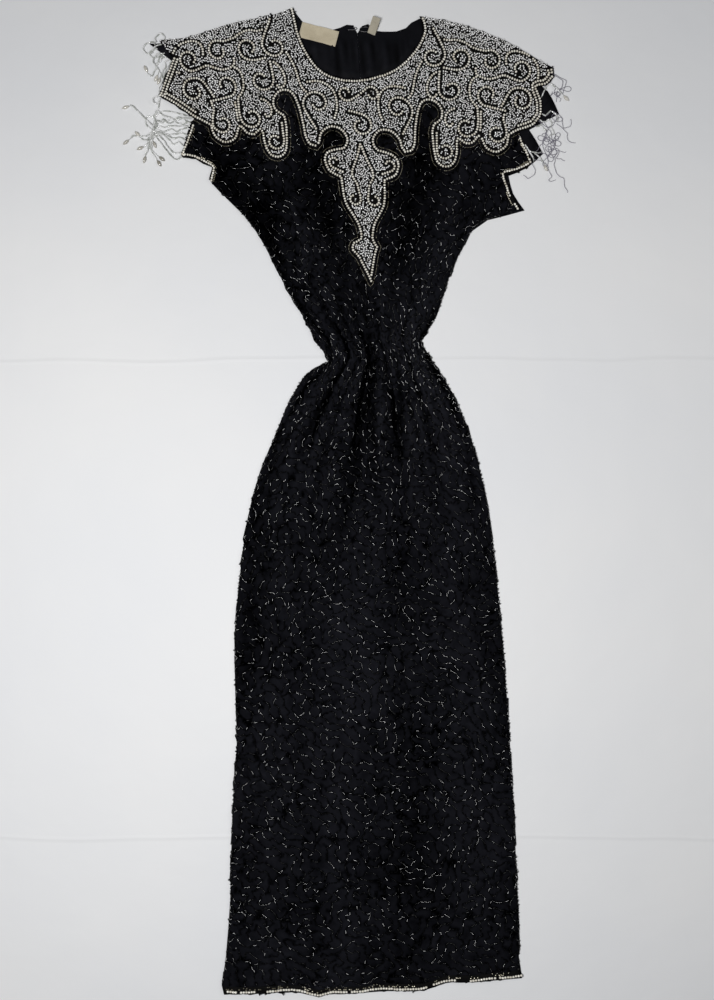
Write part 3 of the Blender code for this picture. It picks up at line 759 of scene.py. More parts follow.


# The silk and the lining take painted shade from each point's tint, as far as their last number says.
BLACK_SILK = ClothFinish(
    "black_silk", (0.0002, 0.0002, 0.0003), (0.0136, 0.0140, 0.0182), 620, 0.3, 0.7, 0.0, 0.95
)
BLACK_LINING = ClothFinish(
    "black_lining", (0.0008, 0.0008, 0.0011), (0.0110, 0.0115, 0.0150), 800, 0.2, 0.6, 0.05, 0.8
)
BLACK_NET = ClothFinish("black_net", (0.0008, 0.0008, 0.0009), (0.0050, 0.0048, 0.0046), 500, 0.4, 0.7, 0.03)
CREAM_RIBBON = ClothFinish("cream_ribbon", (0.36, 0.30, 0.20), (0.68, 0.60, 0.44), 1500, 0.5, 0.6, 0.25)
WHITE_RIBBON = ClothFinish("white_ribbon", (0.20, 0.18, 0.13), (0.50, 0.46, 0.37), 1500, 0.5, 0.7, 0.1)
IVORY_PEARL = BeadFinish("ivory_pearl", (0.66, 0.60, 0.49), (1.0, 0.97, 0.88), 0.14, 0.10, 0.0, 0.8)
SILVER_SEED = BeadFinish("silver_seed", (0.30, 0.29, 0.26), (1.0, 1.0, 1.0), 0.12, 0.02, 0.0, 1.0)
GOLD_SEED = BeadFinish("gold_seed", (0.10, 0.09, 0.055), (0.46, 0.42, 0.31), 0.15, 0.3, 0.2)
BLACK_BUGLE = BeadFinish(
    "black_bugle", (0.0003, 0.0003, 0.0004), (0.0012, 0.0013, 0.0018), 0.07, 0.01, 0.0, 0.0, 0.62
)
CLEAR_BUGLE = BeadFinish("clear_bugle", (0.42, 0.44, 0.40), (1.0, 1.0, 1.0), 0.06, 0.04, 0.0, 0.8, 0.5, 0.08)
SMOKE_DROP = BeadFinish("smoke_drop", (0.40, 0.38, 0.33), (0.86, 0.83, 0.76), 0.08, 0.2, 0.0, 0.8, 0.5, 0.2)
PALE_THREAD = BeadFinish("pale_thread", (0.30, 0.31, 0.30), (0.55, 0.56, 0.54), 0.4, 0.1)
DARK_THREAD = BeadFinish("dark_thread", (0.05, 0.045, 0.07), (0.36, 0.34, 0.42), 0.4, 0.1)
BENT_STEEL = BeadFinish("bent_steel", (0.05, 0.05, 0.055), (0.14, 0.14, 0.15), 0.3, 0.25, 1.0)


class BeadShape(Enum):
    """The kinds of bead."""

    PEARL = "pearl"
    SEED = "seed"
    BUGLE = "bugle"
    DROP = "drop"

    def make(self) -> bpy.types.Mesh:
        """Make the bead at unit size, along Z.

        Returns:
            The bead's mesh, in triangles.
        """
        shape = bmesh.new()
        if self is BeadShape.BUGLE:
            bmesh.ops.create_cone(shape, cap_ends=True, segments=6, radius1=1.0, radius2=1.0, depth=2.0)
        else:
            finer = 1 if self is BeadShape.SEED else 2
            bmesh.ops.create_icosphere(shape, subdivisions=finer, radius=1.0)
        for vert in shape.verts if self is BeadShape.DROP else ():
            pinch = 1 - 0.45 * ease((abs(vert.co.z) - 0.2) / 0.8)
            vert.co.x *= pinch
            vert.co.y *= pinch
        bmesh.ops.triangulate(shape, faces=shape.faces)
        return as_mesh(self.value, shape)


class Strewing:
    """Many copies of one bead, each with its own place, size and tint."""

    def __init__(self, shape: BeadShape) -> None:
        """Start with no beads."""
        self.shape = shape
        self.places: list[Matrix] = []
        self.tints: list[float] = []

    def add(self, place: Vector, along: Vector, up: Vector, half: Vector, tint: float) -> None:
        """Add one bead.

        Args:
            place: Its middle.
            along: The direction of its own Z.
            up: A direction that its Y leans to.
            half: Its half sizes in its own X, Y and Z.
            tint: Its tint, from 0 to 1.
        """
        z = along.normalized()
        x = up.cross(z).normalized()
        turn = Matrix((x, z.cross(x), z)).transposed().to_4x4()
        self.places.append(Matrix.Translation(place) @ turn @ Matrix.Diagonal((*half, 1)))
        self.tints.append(tint)

    def mesh(self, name: str) -> bpy.types.Mesh:
        """Copy the bead to all its places.

        Args:
            name: The mesh's name.

        Returns:
            The mesh, with a tint on each point.
        """
        bead = self.shape.make()
        corners = np.empty(len(bead.vertices) * 3)
        bead.vertices.foreach_get("co", corners)
        corners = corners.reshape(-1, 3)
        faces = np.array([tuple(face.vertices) for face in bead.polygons])
        turns = np.array([[tuple(row) for row in place] for place in self.places])
        points = np.einsum("nij,vj->nvi", turns[:, :3, :3], corners) + turns[:, None, :3, 3]
        starts = np.arange(len(turns)) * len(corners)
        mesh = bpy.data.meshes.new(name)
        mesh.from_pydata(points.reshape(-1, 3), [], (faces[None] + starts[:, None, None]).reshape(-1, 3))
        tint_points(mesh, np.repeat(self.tints, len(corners)))
        bpy.data.meshes.remove(bead)
        return mesh


class Workroom:
    """What every maker of a sub-assembly needs: the garment, the shared effects and the finishes."""

    def __init__(self, garment: Garment) -> None:
        """Start with no finishes made."""
        self.garment = garment
        self.groups = Groups()
        self.made: dict[str, bpy.types.Material] = {}
        self.triangles = 0

    def finish(self, finish: ClothFinish | BeadFinish) -> bpy.types.Material:
        """Make a finish once."""
        if finish.name not in self.made:
            self.made[finish.name] = finish.make(self.groups)
        return self.made[finish.name]

    def show(
        self,
        name: str,
        form: bpy.types.Mesh | Shape | Strewing,
        finish: ClothFinish | BeadFinish,
        slot: Slot,
        replaces: Sequence[str] = (),
        sharp: float = 40.0,
    ) -> Piece:
        """Put a piece into the scene.

        Args:
            name: The piece's name.
            form: Its mesh, its bmesh or its beads, in drawing millimetres.
            finish: Its finish.
            slot: The record's slot for the piece; not used.
            replaces: The nodes that it stands for.
            sharp: The angle in degrees past which an edge looks sharp.

        Returns:
            The piece.
        """
        if isinstance(form, Strewing):
            form = form.mesh(name)
        elif isinstance(form, Shape):
            form = as_mesh(name, form)
        form.transform(self.garment.to_frame)
        form.shade_smooth()
        form.set_sharp_from_angle(angle=math.radians(sharp))
        form.materials.append(self.finish(finish))
        piece = put(name, form)
        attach(piece, "root")
        if replaces:
            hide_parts(*replaces)
        form.calc_loop_triangles()
        self.triangles += len(form.loop_triangles)
        LOG.info("%s: %d triangles", name, len(form.loop_triangles))
        return piece


def tube_mesh(name: str, paths: Iterable[Sequence[Vector]], radius: float, sides: int = 1) -> bpy.types.Mesh:
    """Sweep a round section along paths.

    Args:
        name: The mesh's name.
        paths: The centre lines.
        radius: The section's radius.
        sides: The curve's bevel resolution.

    Returns:
        The closed tubes, as one mesh.
    """
    curve = bpy.data.curves.new(name, "CURVE")
    curve.dimensions = "3D"
    curve.bevel_depth = radius
    curve.bevel_resolution = sides
    curve.use_fill_caps = True
    for path in paths:
        spline = curve.splines.new("POLY")
        spline.points.add(len(path) - 1)
        for point, place in zip(spline.points, path):
            point.co = (*place, 1.0)
    holder = bpy.data.objects.new(name, curve)
    mesh = bpy.data.meshes.new_from_object(holder)
    bpy.data.objects.remove(holder)
    shape = bmesh.new()
    shape.from_mesh(mesh)
    bmesh.ops.remove_doubles(shape, verts=shape.verts, dist=0.001)
    bmesh.ops.recalc_face_normals(shape, faces=shape.faces)
    bmesh.ops.triangulate(shape, faces=shape.faces)
    shape.to_mesh(mesh)
    shape.free()
    tint_points(mesh, np.full(len(mesh.vertices), 0.5))
    return mesh


@dataclass
class SquiggleField:
    """A sum of level waves across the flat cut, whose middle line is where the bugles run."""

    wavelength: float = 23.0
    shortest: float = 0.75
    longest: float = 1.3
    count: int = 44
    wiggle: float = 2.6
    wiggle_length: float = 19.0
    seed: int = 11
    waves: list[tuple[float, float, float]] = field(default_factory=list)

    def __post_init__(self) -> None:
        """Draw the waves: the number across, the number up and the phase of each."""
        maker = random.Random(self.seed)
        for _ in range(self.count):
            heading = maker.uniform(0, math.tau)
            number = math.tau / (self.wavelength * maker.uniform(self.shortest, self.longest))
            phase = maker.uniform(0, math.tau)
            self.waves.append((number * math.cos(heading), number * math.sin(heading), phase))

    def height(self, x: np.ndarray, y: np.ndarray) -> np.ndarray:
        """Work out the sum at places of the drawing.

        Args:
            x: Their drawing x.
            y: Their drawing y.

        Returns:
            The sums, scaled so that they mostly lie between -2 and 2.
        """
        heights = [row.height for row in FAN]
        left, right, cut = (np.interp(y, heights, [row[part] for row in FAN]) for part in (1, 2, 3))
        across = ((x - left) / (right - left) - 0.5) * cut
        turn = math.tau / self.wiggle_length
        lean = np.sin(0.31 * turn * across + 0.23 * turn * y)
        bent_across = across + self.wiggle * np.sin(turn * y + 2.1 * lean)
        bent_up = y + self.wiggle * np.sin(0.87 * turn * across - 2.4 * lean)
        total = np.zeros_like(x)
        for over, up, phase in self.waves:
            total += np.cos(over * bent_across + up * bent_up + phase)
        return total / math.sqrt(self.count / 2)


@dataclass
class FrontPanel:
    """The black front: folds, gathers and puffs between its bead rows, finer than its solid, with painted
    shade in its tint.
    """

    room: Workroom
    squiggles: SquiggleField
    edge: float = 4.75
    hidden_edge: float = 12.0
    gather_height: float = 955.0
    reach_up: float = 190.0
    reach_down: float = 330.0
    deep_gathers: float = 3.2
    deep_count: float = 10.0
    trough: float = 0.16
    fine_gathers: float = 2.2
    fine_count: float = 25.0
    puff: float = 0.75
    line_width: float = 0.46
    top_darkening: float = 0.16
    pucker: float = 0.4
    sag: float = 1.9
    edge_roll: float = 0.8
    edge_wander: float = 3.6
    lowest: float = -1.2
    lie: Lie = field(init=False)
    yoke: BVHTree = field(init=False)

    def folds(self, x: float, y: float) -> float:
        """Work out the gathers at the waist and the long soft folds.

        Args:
            x: Drawing x.
            y: Drawing y.

        Returns:
            Their lift in millimetres.
        """
        share, across = cross_place(x, y)
        reach = self.reach_up if y > self.gather_height else self.reach_down
        near = ease(1 - abs(y - self.gather_height) / reach)
        wander = 0.03 * swell(share * 4, y / 170, 3.1)
        deep = swell((share + wander) * self.deep_count, y / 420, 9.7)
        deep = 0.35 - math.exp(-((deep / self.trough) ** 2))
        fine = swell((share + wander) * self.fine_count, y / 240, 4.7)
        sag = swell(across / 62, y / 420, 5.5) + 0.5 * swell(across / 40, y / 90, 0.5)
        gathers = self.deep_gathers * deep + self.fine_gathers * fine
        return near * gathers + (1 - 0.6 * near) * self.sag * sag

    def is_seen(self, edge: Edge) -> bool:
        """Tell whether an edge lies on top, outside the yoke."""
        middle = (edge.verts[0].co + edge.verts[1].co) / 2
        return is_upper(edge) and below(self.yoke, *middle.xy)[0] is None

    def build(self) -> Piece:
        """Work the front and put it into the scene.

        Returns:
            The front's piece.
        """
        self.yoke = self.room.garment.tree("yoke")
        shape = self.room.garment.copy("front")
        refine(shape, self.hidden_edge, is_upper)
        refine(shape, self.edge, self.is_seen)
        painted_shade_layer = shape.verts.layers.float.new("tint")
        tops = [vert for vert in shape.verts if vert.normal.z > 0.35]
        rim = {vert for vert in shape.verts if any(abs(f.normal.z) < 0.3 for f in vert.link_faces)}
        inner = [vert for vert in tops if vert not in rim]
        for _ in range(20):
            bmesh.ops.smooth_vert(shape, verts=inner, factor=0.5, use_axis_z=True)
        x, y = (np.array([getattr(vert.co, axis) for vert in tops]) for axis in "xy")
        away = np.abs(self.squiggles.height(x, y))
        clear = np.minimum(away / self.line_width, 1)
        for vert, puff, open_cloth in zip(tops, np.minimum(away / 1.3, 1), clear):
            folds = self.folds(vert.co.x, vert.co.y)
            pucker = swell(vert.co.x / 9, vert.co.y / 9, 1.3)
            lift = folds + self.puff * float(puff) + self.pucker * pucker
            if vert in rim:
                lift = 0.3 * lift - self.edge_roll
            vert.co.z += max(lift, self.lowest)
            # Painted shade in the tint: darker beside the bugle rows and in the troughs of folds and
            # puckers, lighter on their ridges. The tint also grows darker towards the top.
            shade = self.top_darkening * ease((vert.co.y - 1050) / 140)
            painted_tone = 0.03 + 0.58 * float(open_cloth) + 0.16 * folds + 0.2 * pucker - shade
            vert[painted_shade_layer] = limit(painted_tone)
        for vert in shape.verts:
            here = Vector((vert.co.x / 6, vert.co.y / 6, 6.2))
            vert.co.x += self.edge_wander * swell(*here)
            vert.co.y += self.edge_wander * swell(*(here + UP * 9))
        shape.normal_update()
        self.lie = Lie(shape)
        return self.room.show("front_silk", shape, BLACK_SILK, Slot.SILK, ("front",), 60)


@dataclass
class BackPanels:
    """The two black back panels, creased where they show inside the neck, with painted shade along the
    creases.
    """

    room: Workroom
    edge: float = 22.0
    neck_edge: float = 4.0
    crease: float = 2.2
    crease_pitch: float = 8.0
    fade: float = 10.0
    lowest_crease: float = 1375.0
    highest_crease: float = 1446.0

    def build(self, lie: Lie) -> list[Piece]:
        """Work both panels.

        Args:
            lie: The front that covers them.

        Returns:
            The two pieces.
        """
        return [self.build_panel(name, lie) for name in ("back_left", "back_right")]

    def is_in_neck(self, edge: Edge) -> bool:
        """Tell whether an edge lies on top, inside the neck."""
        middle = (edge.verts[0].co + edge.verts[1].co) / 2
        return is_upper(edge) and middle.y > self.lowest_crease - 15 and -125 < middle.x < 85

    def build_panel(self, name: str, lie: Lie) -> Piece:
        """Work one panel.

        Args:
            name: The panel's node.
            lie: The front that covers it.

        Returns:
            The panel's piece.
        """
        shape = self.room.garment.copy(name)
        refine(shape, self.edge)
        refine(shape, self.neck_edge, self.is_in_neck)
        painted_shade_layer = shape.verts.layers.float.new("tint")
        for vert in shape.verts:
            x, y = vert.co.xy
            vert[painted_shade_layer] = 0.5
            if vert.normal.z < 0.35 or y < self.lowest_crease or lie.over(x, y) is not None:
                continue
            nearest, _, _, _ = lie.tree.find_nearest(Vector((x, y, 4)))
            clear = ease(((nearest.xy - vert.co.xy).length - 1) / self.fade)
            clear *= ease((self.highest_crease - y) / 22)
            lean = x + 0.1 * (y - 1400)
            fold = swell(lean / self.crease_pitch, y / 90, 2.2)
            vert.co.z += clear * self.crease * (fold + 0.6)
            # Painted shade: the tint follows each crease, darker in its trough and lighter on its ridge.
            vert[painted_shade_layer] = limit(0.5 + 0.9 * fold * clear)
        return self.room.show(name + "_lining", shape, BLACK_LINING, Slot.LINING, (name,), 60)


@dataclass
class BugleSquiggles:
    """Rows of black glass bugles that wander over the front without crossing."""

    room: Workroom
    squiggles: SquiggleField
    lie: Lie
    covers: Sequence[BVHTree]
    cell: float = 2.6
    shortest_row: int = 5
    pitch: float = 5.15
    half_length: float = 2.0
    half_width: float = 1.05
    missing: float = 0.05
    lean: float = 0.2
    seam_pitch: float = 6.0
    maker: random.Random = field(default_factory=lambda: random.Random(12))
    beads: Strewing = field(default_factory=lambda: Strewing(BeadShape.BUGLE))

    def lines(self) -> list[list[Vector]]:
        """Cut the field of squiggles at its middle level.

        Returns:
            The squiggles, each a row of places on the drawing.
        """
        low, high = Vector((-330.0, -10.0)), Vector((290.0, 1495.0))
        size = high - low
        shape = bmesh.new()
        across, up = round(size.x / self.cell), round(size.y / self.cell)
        bmesh.ops.create_grid(shape, x_segments=across, y_segments=up, size=0.5)
        middle = (low + high) / 2
        spread = Matrix.Translation((*middle, 0)) @ Matrix.Diagonal((size.x, size.y, 1, 1))
        bmesh.ops.transform(shape, matrix=spread, verts=shape.verts)
        places = np.array([vert.co.xy for vert in shape.verts])
        for vert, value in zip(shape.verts, self.squiggles.height(places[:, 0], places[:, 1])):
            vert.co.z = value
        everything = [*shape.verts, *shape.edges, *shape.faces]
        found = bmesh.ops.bisect_plane(shape, geom=everything, dist=1e-5, plane_no=UP)
        edges = [item for item in found["geom_cut"] if isinstance(item, Edge)]
        points = {vert.index: vert.co.xy for edge in edges for vert in edge.verts}
        rows = walk_chains(link_ends(edges))
        drawn = [[points[index].copy() for index in row] for row in rows if len(row) > self.shortest_row]
        shape.free()
        return drawn

    def build(self) -> Piece:
        """Sew the bugles on.

        Returns:
            The bugles' piece.
        """
        for path in self.lines():
            start = self.maker.uniform(0, 900)
            for order, (place, along) in enumerate(paced(curve_through(path[::2], 2.0), self.pitch)):
                turn = 100 * swell(start + order * 0.21, 0, 0) + self.maker.gauss(0, 5)
                self.sew(place, along, math.radians(turn))
        self.sew_seams()
        return self.room.show("black_bugles", self.beads, BLACK_BUGLE, Slot.SILK, (), 70)

    def sew(self, place: Vector, along: Vector, roll: float) -> None:
        """Sew one bugle on, unless it is missing or its place is covered.

        Args:
            place: Its place on the drawing.
            along: Its direction there.
            roll: How far it is rolled round its own hole, in radians.
        """
        maker = self.maker
        found = self.lie.over(place.x, place.y)
        if found is None or maker.random() < self.missing:
            return
        if any(below(tree, *place)[0] is not None for tree in self.covers):
            return
        point, normal = found
        flat = along.to_3d()
        level = (flat - normal * flat.dot(normal)).normalized()
        tilt = normal * (maker.gauss(0, 0.28) + self.lean * math.sin(roll))
        tilt = tilt + normal.cross(level) * maker.gauss(0, 0.09)
        half = Vector((self.half_width, self.half_width, self.half_length)) * maker.uniform(0.92, 1.05)
        up = Matrix.Rotation(roll, 3, level) @ normal
        self.beads.add(point + normal * self.half_width * 0.9, level + tilt, up, half, maker.random())

    def sew_seams(self) -> None:
        """Sew a rough row of bugles along each side seam."""
        rim = self.room.garment.rim("front")
        for side in (between(rim, HEM_RIGHT, UNDERARM_RIGHT), between(rim, UNDERARM_LEFT, HEM_LEFT)):
            for place, along in paced(beside(curve_through(side, 8.0), 0.9), self.seam_pitch):
                turn = Matrix.Rotation(self.maker.gauss(0, 0.6), 2)
                self.sew(place, turn @ along, self.maker.uniform(0, 1))


def walk_chains(follow: dict[int, list[int]]) -> list[list[int]]:
    """Join linked indices into rows.

    Args:
        follow: The neighbours of each index.

    Returns:
        The rows, each walked from an end, or round from anywhere where it has none.
    """
    rows: list[list[int]] = []
    left = set(follow)
    starts = [index for index in follow if len(follow[index]) == 1] + list(follow)
    for start in starts:
        if start not in left:
            continue
        row = [start]
        left.discard(start)
        while True:
            onward = next((index for index in follow[row[-1]] if index in left), None)
            if onward is None:
                break
            row.append(onward)
            left.discard(onward)
        if len(row) > 2 and row[0] in follow[row[-1]]:
            row.append(row[0])
        rows.append(row)
    return rows


class Scroll(NamedTuple):
    """A raised bead row that comes in along a tail and winds round an eye."""

    out: float
    up: float
    radius: float
    last_radius: float
    start: float
    sweep: float
    tail_out: float
    tail_up: float


SCROLLS = (
    Scroll(118, 349, 19.5, 8, 20, -335, 122, 392),
    Scroll(158, 344, 19.5, 8, -110, 335, 132, 331),
    Scroll(204, 336, 18.5, 8, 120, -327, 178, 358),
    Scroll(248, 321, 17.5, 8, -100, 327, 222, 314),
    Scroll(245, 274, 21.5, 8, 130, -361, 214, 266),
    Scroll(196, 286, 19.5, 8, -80, -318, 222, 260),
    Scroll(142, 297, 20.5, 8, 150, 344, 127, 327),
    Scroll(160, 240, 18.5, 8, 10, -335, 179, 268),
    Scroll(205, 228, 16.5, 8, 30, -327, 216, 249),
    Scroll(127, 206, 12.5, 8, 180, 318, 116, 236),
    Scroll(60, 268, 22.5, 8, -20, 361, 64, 228),
    Scroll(41, 181, 9.5, 5.5, -90, 258, 28, 166),
    Scroll(15, 127, 9.5, 5.5, 180, 284, 9, 150),
)
CENTRE_SCROLLS = (
    Scroll(3, 238, 18.5, 8, 90, -361, -15, 260),
    Scroll(-17, 286, 12, 6, -60, -300, 4, 285),
    Scroll(23, 287, 11, 6, 120, -300, 5, 286),
)


@dataclass
class YokePattern:
    """How the yoke's half pattern lies on the skewed bodice."""

    point: Mark = Mark(-2, 1069)
    lean: float = -0.073
    drop: float = -0.066
    sleeve_start: float = 110.0
    sleeve_lift: float = 0.13
    turn: float = 45.0
    step: float = 3.0

    def lay(self, out: float, up: float, side: int) -> Vector:
        """Lay a place of the half pattern on the bodice.

        Args:
            out: Its distance from the centre line.
            up: Its height over the yoke's point.
            side: 1 for the right half and -1 for the left.

        Returns:
            The place on the drawing.
        """
        lift = self.sleeve_lift * max(out - self.sleeve_start, 0.0) if side > 0 else 0.0
        x = self.point.x + side * out + self.lean * up
        return Vector((x, self.point.y + self.drop * side * out + up + lift))

    def scroll(self, scroll: Scroll, side: int) -> list[Vector]:
        """Draw the path of a scroll."""
        turns = round(abs(scroll.sweep) / self.turn)
        guides = [self.lay(scroll.tail_out, scroll.tail_up, side)]
        for index in range(turns + 1):
            part = index / turns
            radius = scroll.radius * (scroll.last_radius / scroll.radius) ** part
            angle = math.radians(scroll.start + scroll.sweep * part)
            out, up = scroll.out + radius * math.cos(angle), scroll.up + radius * math.sin(angle)
            guides.append(self.lay(out, up, side))
        return curve_through(guides, self.step)

    def stem(self, places: Sequence[tuple[float, float]], side: int) -> list[Vector]:
        """Draw the path of a plain row through places of the half pattern."""
        return curve_through([self.lay(out, up, side) for out, up in places], self.step)


STEMS = (
    ((103, 342), (99, 338), (90, 318), (85, 298), (81, 289), (75, 283)),
    ((0, 212), (6, 192), (15, 170), (15, 160), (9, 150)),
    ((178, 358), (168, 366), (155, 371), (143, 371), (134, 374)),
    ((222, 314), (211, 311), (199, 309), (188, 312), (181, 318), (181, 328)),
    ((216, 249), (219, 256), (218, 262)),
    ((179, 268), (172, 277), (169, 288), (170, 300), (175, 310), (183, 314)),
    ((127, 327), (117, 322), (109, 312), (106, 300), (109, 290), (116, 287), (120, 292)),
    ((75, 299), (61, 301), (48, 299), (37, 291), (32, 279), (31, 267), (33, 255), (37, 246)),
    ((267, 338), (273, 326), (274, 312), (270, 301), (262, 300)),
    ((264, 340), (254, 346), (241, 349), (231, 346), (227, 338), (227, 329)),
    ((184, 263), (183, 251), (182, 240), (180, 231)),
    ((146, 269), (136, 265), (130, 256), (131, 246), (137, 242), (141, 248)),
)


class Crowd:
    """The places that are taken, sorted into square cells."""

    def __init__(self, cell: float) -> None:
        """Start empty, with cells of a size that no reach passes."""
        self.cell = cell
        self.cells: dict[tuple[int, int], list[tuple[Vector, int]]] = {}

    def key(self, place: Vector) -> tuple[int, int]:
        """Find a place's cell."""
        return math.floor(place.x / self.cell), math.floor(place.y / self.cell)

    def add(self, place: Vector, owner: int = 0) -> None:
        """Take a place for an owner."""
        self.cells.setdefault(self.key(place), []).append((place, owner))

    def is_free(self, place: Vector, reach: float, owner: int = -1) -> bool:
        """Tell whether nobody else's place lies within reach.

        Args:
            place: The place.
            reach: How near another place may not be.
            owner: Whose places don't count.

        Returns:
            True if the place is free.
        """
        column, line = self.key(place)
        near = ((column + across, line + up) for across in (-1, 0, 1) for up in (-1, 0, 1))
        return not any(
            other != owner and (taken - place).length < reach
            for key in near
            for taken, other in self.cells.get(key, ())
        )


@dataclass
class BeadRow:
    """A row of pearls, with the bare channel that it leaves on each side."""

    path: list[Vector]
    left_gap: float
    right_gap: float
    half: float = 1.72


@dataclass
class Yoke:
    """The bead yoke: black net, pearl rows and a close fill of seed beads."""

    room: Workroom
    lie: Lie
    pattern: YokePattern = field(default_factory=YokePattern)
    net_lift: float = 0.9
    net_edge: float = 9.0
    pearl_pitch: float = 3.9
    rim_inset: float = 3.0
    second_inset: float = 8.4
    channel: float = 2.8
    tight: float = 0.6
    fill_pitch: float = 2.3
    fill_reach: float = 2.15
    edge_line_offset: float = -2.7
    edge_line_pitch: float = 2.3
    maker: random.Random = field(default_factory=lambda: random.Random(5))
    pearls: Strewing = field(default_factory=lambda: Strewing(BeadShape.PEARL))
    taken: Crowd = field(default_factory=lambda: Crowd(4.0))
    tree: BVHTree = field(init=False)

    def rows(self, rim: Sequence[Vector]) -> list[BeadRow]:
        """List every pearl row of the yoke.

        Args:
            rim: The yoke's outline.

        Returns:
            The rows.
        """
        rows = []
        for start, end, inset, left_gap, right_gap in (
            (NECK_RIGHT, NECK_LEFT, self.rim_inset, 0.7, 3.0),
            (PATCH_LEFT, TIP_RIGHT, self.rim_inset, 1.6, 3.0),
            (PATCH_LEFT, NOTCH_LEFT, self.second_inset, 1.2, 1.2),
            (SCALLOP_RIGHT, TIP_RIGHT, self.second_inset, 1.2, 1.2),
        ):
            stretch = round_between_corners(between(rim, start, end), ROUNDING_STEP)
            rows.append(BeadRow(beside(stretch, inset), left_gap, right_gap))
        for scroll in CENTRE_SCROLLS:
            rows.append(self.scroll_row(scroll, 1))
        for side in (-1, 1):
            rows += [self.scroll_row(scroll, side) for scroll in SCROLLS]
            rows += [BeadRow(self.pattern.stem(places, side), 1.5, 0.7) for places in STEMS]
        return rows

    def scroll_row(self, scroll: Scroll, side: int) -> BeadRow:
        """Make a scroll's row, with its wide channel on the side of its eye."""
        turns_left = (scroll.sweep > 0) == (side > 0)
        gaps = (self.channel, self.tight) if turns_left else (self.tight, self.channel)
        return BeadRow(self.pattern.scroll(scroll, side), *gaps)

    def build(self) -> list[Piece]:
        """Build the net, the pearls, the fill and the fine line round the lower edge.

        Returns:
            The yoke's pieces, the net first.
        """
        rim = self.room.garment.rim("yoke")
        self.tree = self.room.garment.tree("yoke")
        rows = self.rows(rim)
        net = self.build_net()
        for row in rows:
            self.thread_row(row)
        pearls = self.room.show("yoke_pearls", self.pearls, IVORY_PEARL, Slot.PEARLS)
        return [net, pearls, *self.build_fill(rim, rows), self.build_edge_line(rim)]

    def build_net(self) -> Piece:
        """Work the black net that carries the beads, close on the front."""
        cad = self.room.garment.tree("front")
        shape = self.room.garment.copy("yoke")
        for vert in shape.verts:
            floor, _ = below(cad, *vert.co.xy)
            if floor is None:
                floor, _, _, _ = cad.find_nearest(vert.co)
            lift = 0.2 if vert.co.z - floor.z < 0.9 else self.net_lift
            vert.co.z = self.lie.on(vert.co.x, vert.co.y, lift).z
        refine(shape, self.net_edge)
        for vert in shape.verts:
            if vert.normal.z > 0.5:
                vert.co.z = self.lie.on(vert.co.x, vert.co.y, self.net_lift).z
        return self.room.show("yoke_net", shape, BLACK_NET, Slot.SEEDS, ("yoke",), 60)

    def thread_row(self, row: BeadRow) -> None:
        """Thread the pearls of one row.

        Args:
            row: The row.
        """
        maker = self.maker
        for place, along in paced(row.path, self.pearl_pitch):
            if not self.taken.is_free(place, row.half * 1.7) or not self.has_net(place):
                continue
            self.taken.add(place)
            half = row.half * maker.uniform(0.93, 1.05)
            point = self.lie.on(place.x, place.y, self.net_lift + half * 0.92)
            point += Vector((maker.gauss(0, 0.12), maker.gauss(0, 0.12), maker.gauss(0, 0.08)))
            tint = limit(maker.gauss(0.68, 0.22))
            self.pearls.add(point, along.to_3d(), UP, Vector((half * 1.08, half, half * 0.92)), tint)

    def has_net(self, place: Vector) -> bool:
        """Tell whether the yoke lies under a place."""
        return below(self.tree, *place.xy)[0] is not None

    def has_room(self, place: Vector, near: KDTree, marks: Sequence[tuple[Vector, Vector, BeadRow]]) -> bool:
        """Tell whether a seed fits at a place between the rows.

        Args:
            place: The place.
            near: A search tree of the rows' marks.
            marks: Each mark's place, direction and row.

        Returns:
            True if it lies on the net and clear of every row's channel.
        """
        _, index, distance = near.find(Vector((place.x, place.y, 0)))
        mark, along, row = marks[index]
        gap = row.left_gap if along.cross(place - mark) > 0 else row.right_gap
        return distance > row.half + gap + 0.75 and self.has_net(place)

    def build_fill(self, rim: Sequence[Vector], rows: Sequence[BeadRow]) -> list[Piece]:
        """Fill what the rows leave with short curved strings of seed beads that lie every way.

        Args:
            rim: The yoke's outline.
            rows: The pearl rows.

        Returns:
            The fill of each half.
        """
        maker = self.maker
        marks = [(place, along, row) for row in rows for place, along in paced(row.path, 0.9)]
        near = KDTree(len(marks))
        for index, (place, _, _) in enumerate(marks):
            near.insert(place.to_3d(), index)
        near.balance()
        halves = {side: Strewing(BeadShape.SEED) for side in ("left", "right")}
        low, high = (Vector([f(getattr(p, axis) for p in rim) for axis in "xy"]) for f in (min, max))
        columns, lines = (round(size / self.fill_pitch) for size in (high - low))
        sites = [(column, line) for line in range(lines + 1) for column in range(columns + 1)]
        maker.shuffle(sites)
        crowd = Crowd(3.0)
        for owner, (column, line) in enumerate(sites):
            place = low + Vector((column + maker.random(), line + maker.random())) * self.fill_pitch
            heading, bend = maker.uniform(0, math.tau), maker.gauss(0, 0.45)
            for _ in range(maker.randint(1, 4)):
                half = Vector((1.1, 0.85, maker.uniform(1.1, 1.45)))
                if not crowd.is_free(place, self.fill_reach, owner) or not self.has_room(place, near, marks):
                    break
                crowd.add(place, owner)
                direction = heading_to(heading)
                point = self.lie.on(place.x, place.y, self.net_lift + half.x * maker.uniform(0.8, 1.2))
                centre = self.pattern.point.x + self.pattern.lean * (place.y - self.pattern.point.y)
                beads = halves["left" if place.x < centre else "right"]
                along = direction.to_3d() + UP * maker.gauss(0, 0.12)
                beads.add(point, along, UP, half, maker.betavariate(1.7, 0.5))
                heading += bend
                place = place + heading_to(heading) * half.z * 2.05
        return [
            self.room.show("yoke_seeds_" + side, beads, SILVER_SEED, Slot.SEEDS)
            for side, beads in halves.items()
        ]

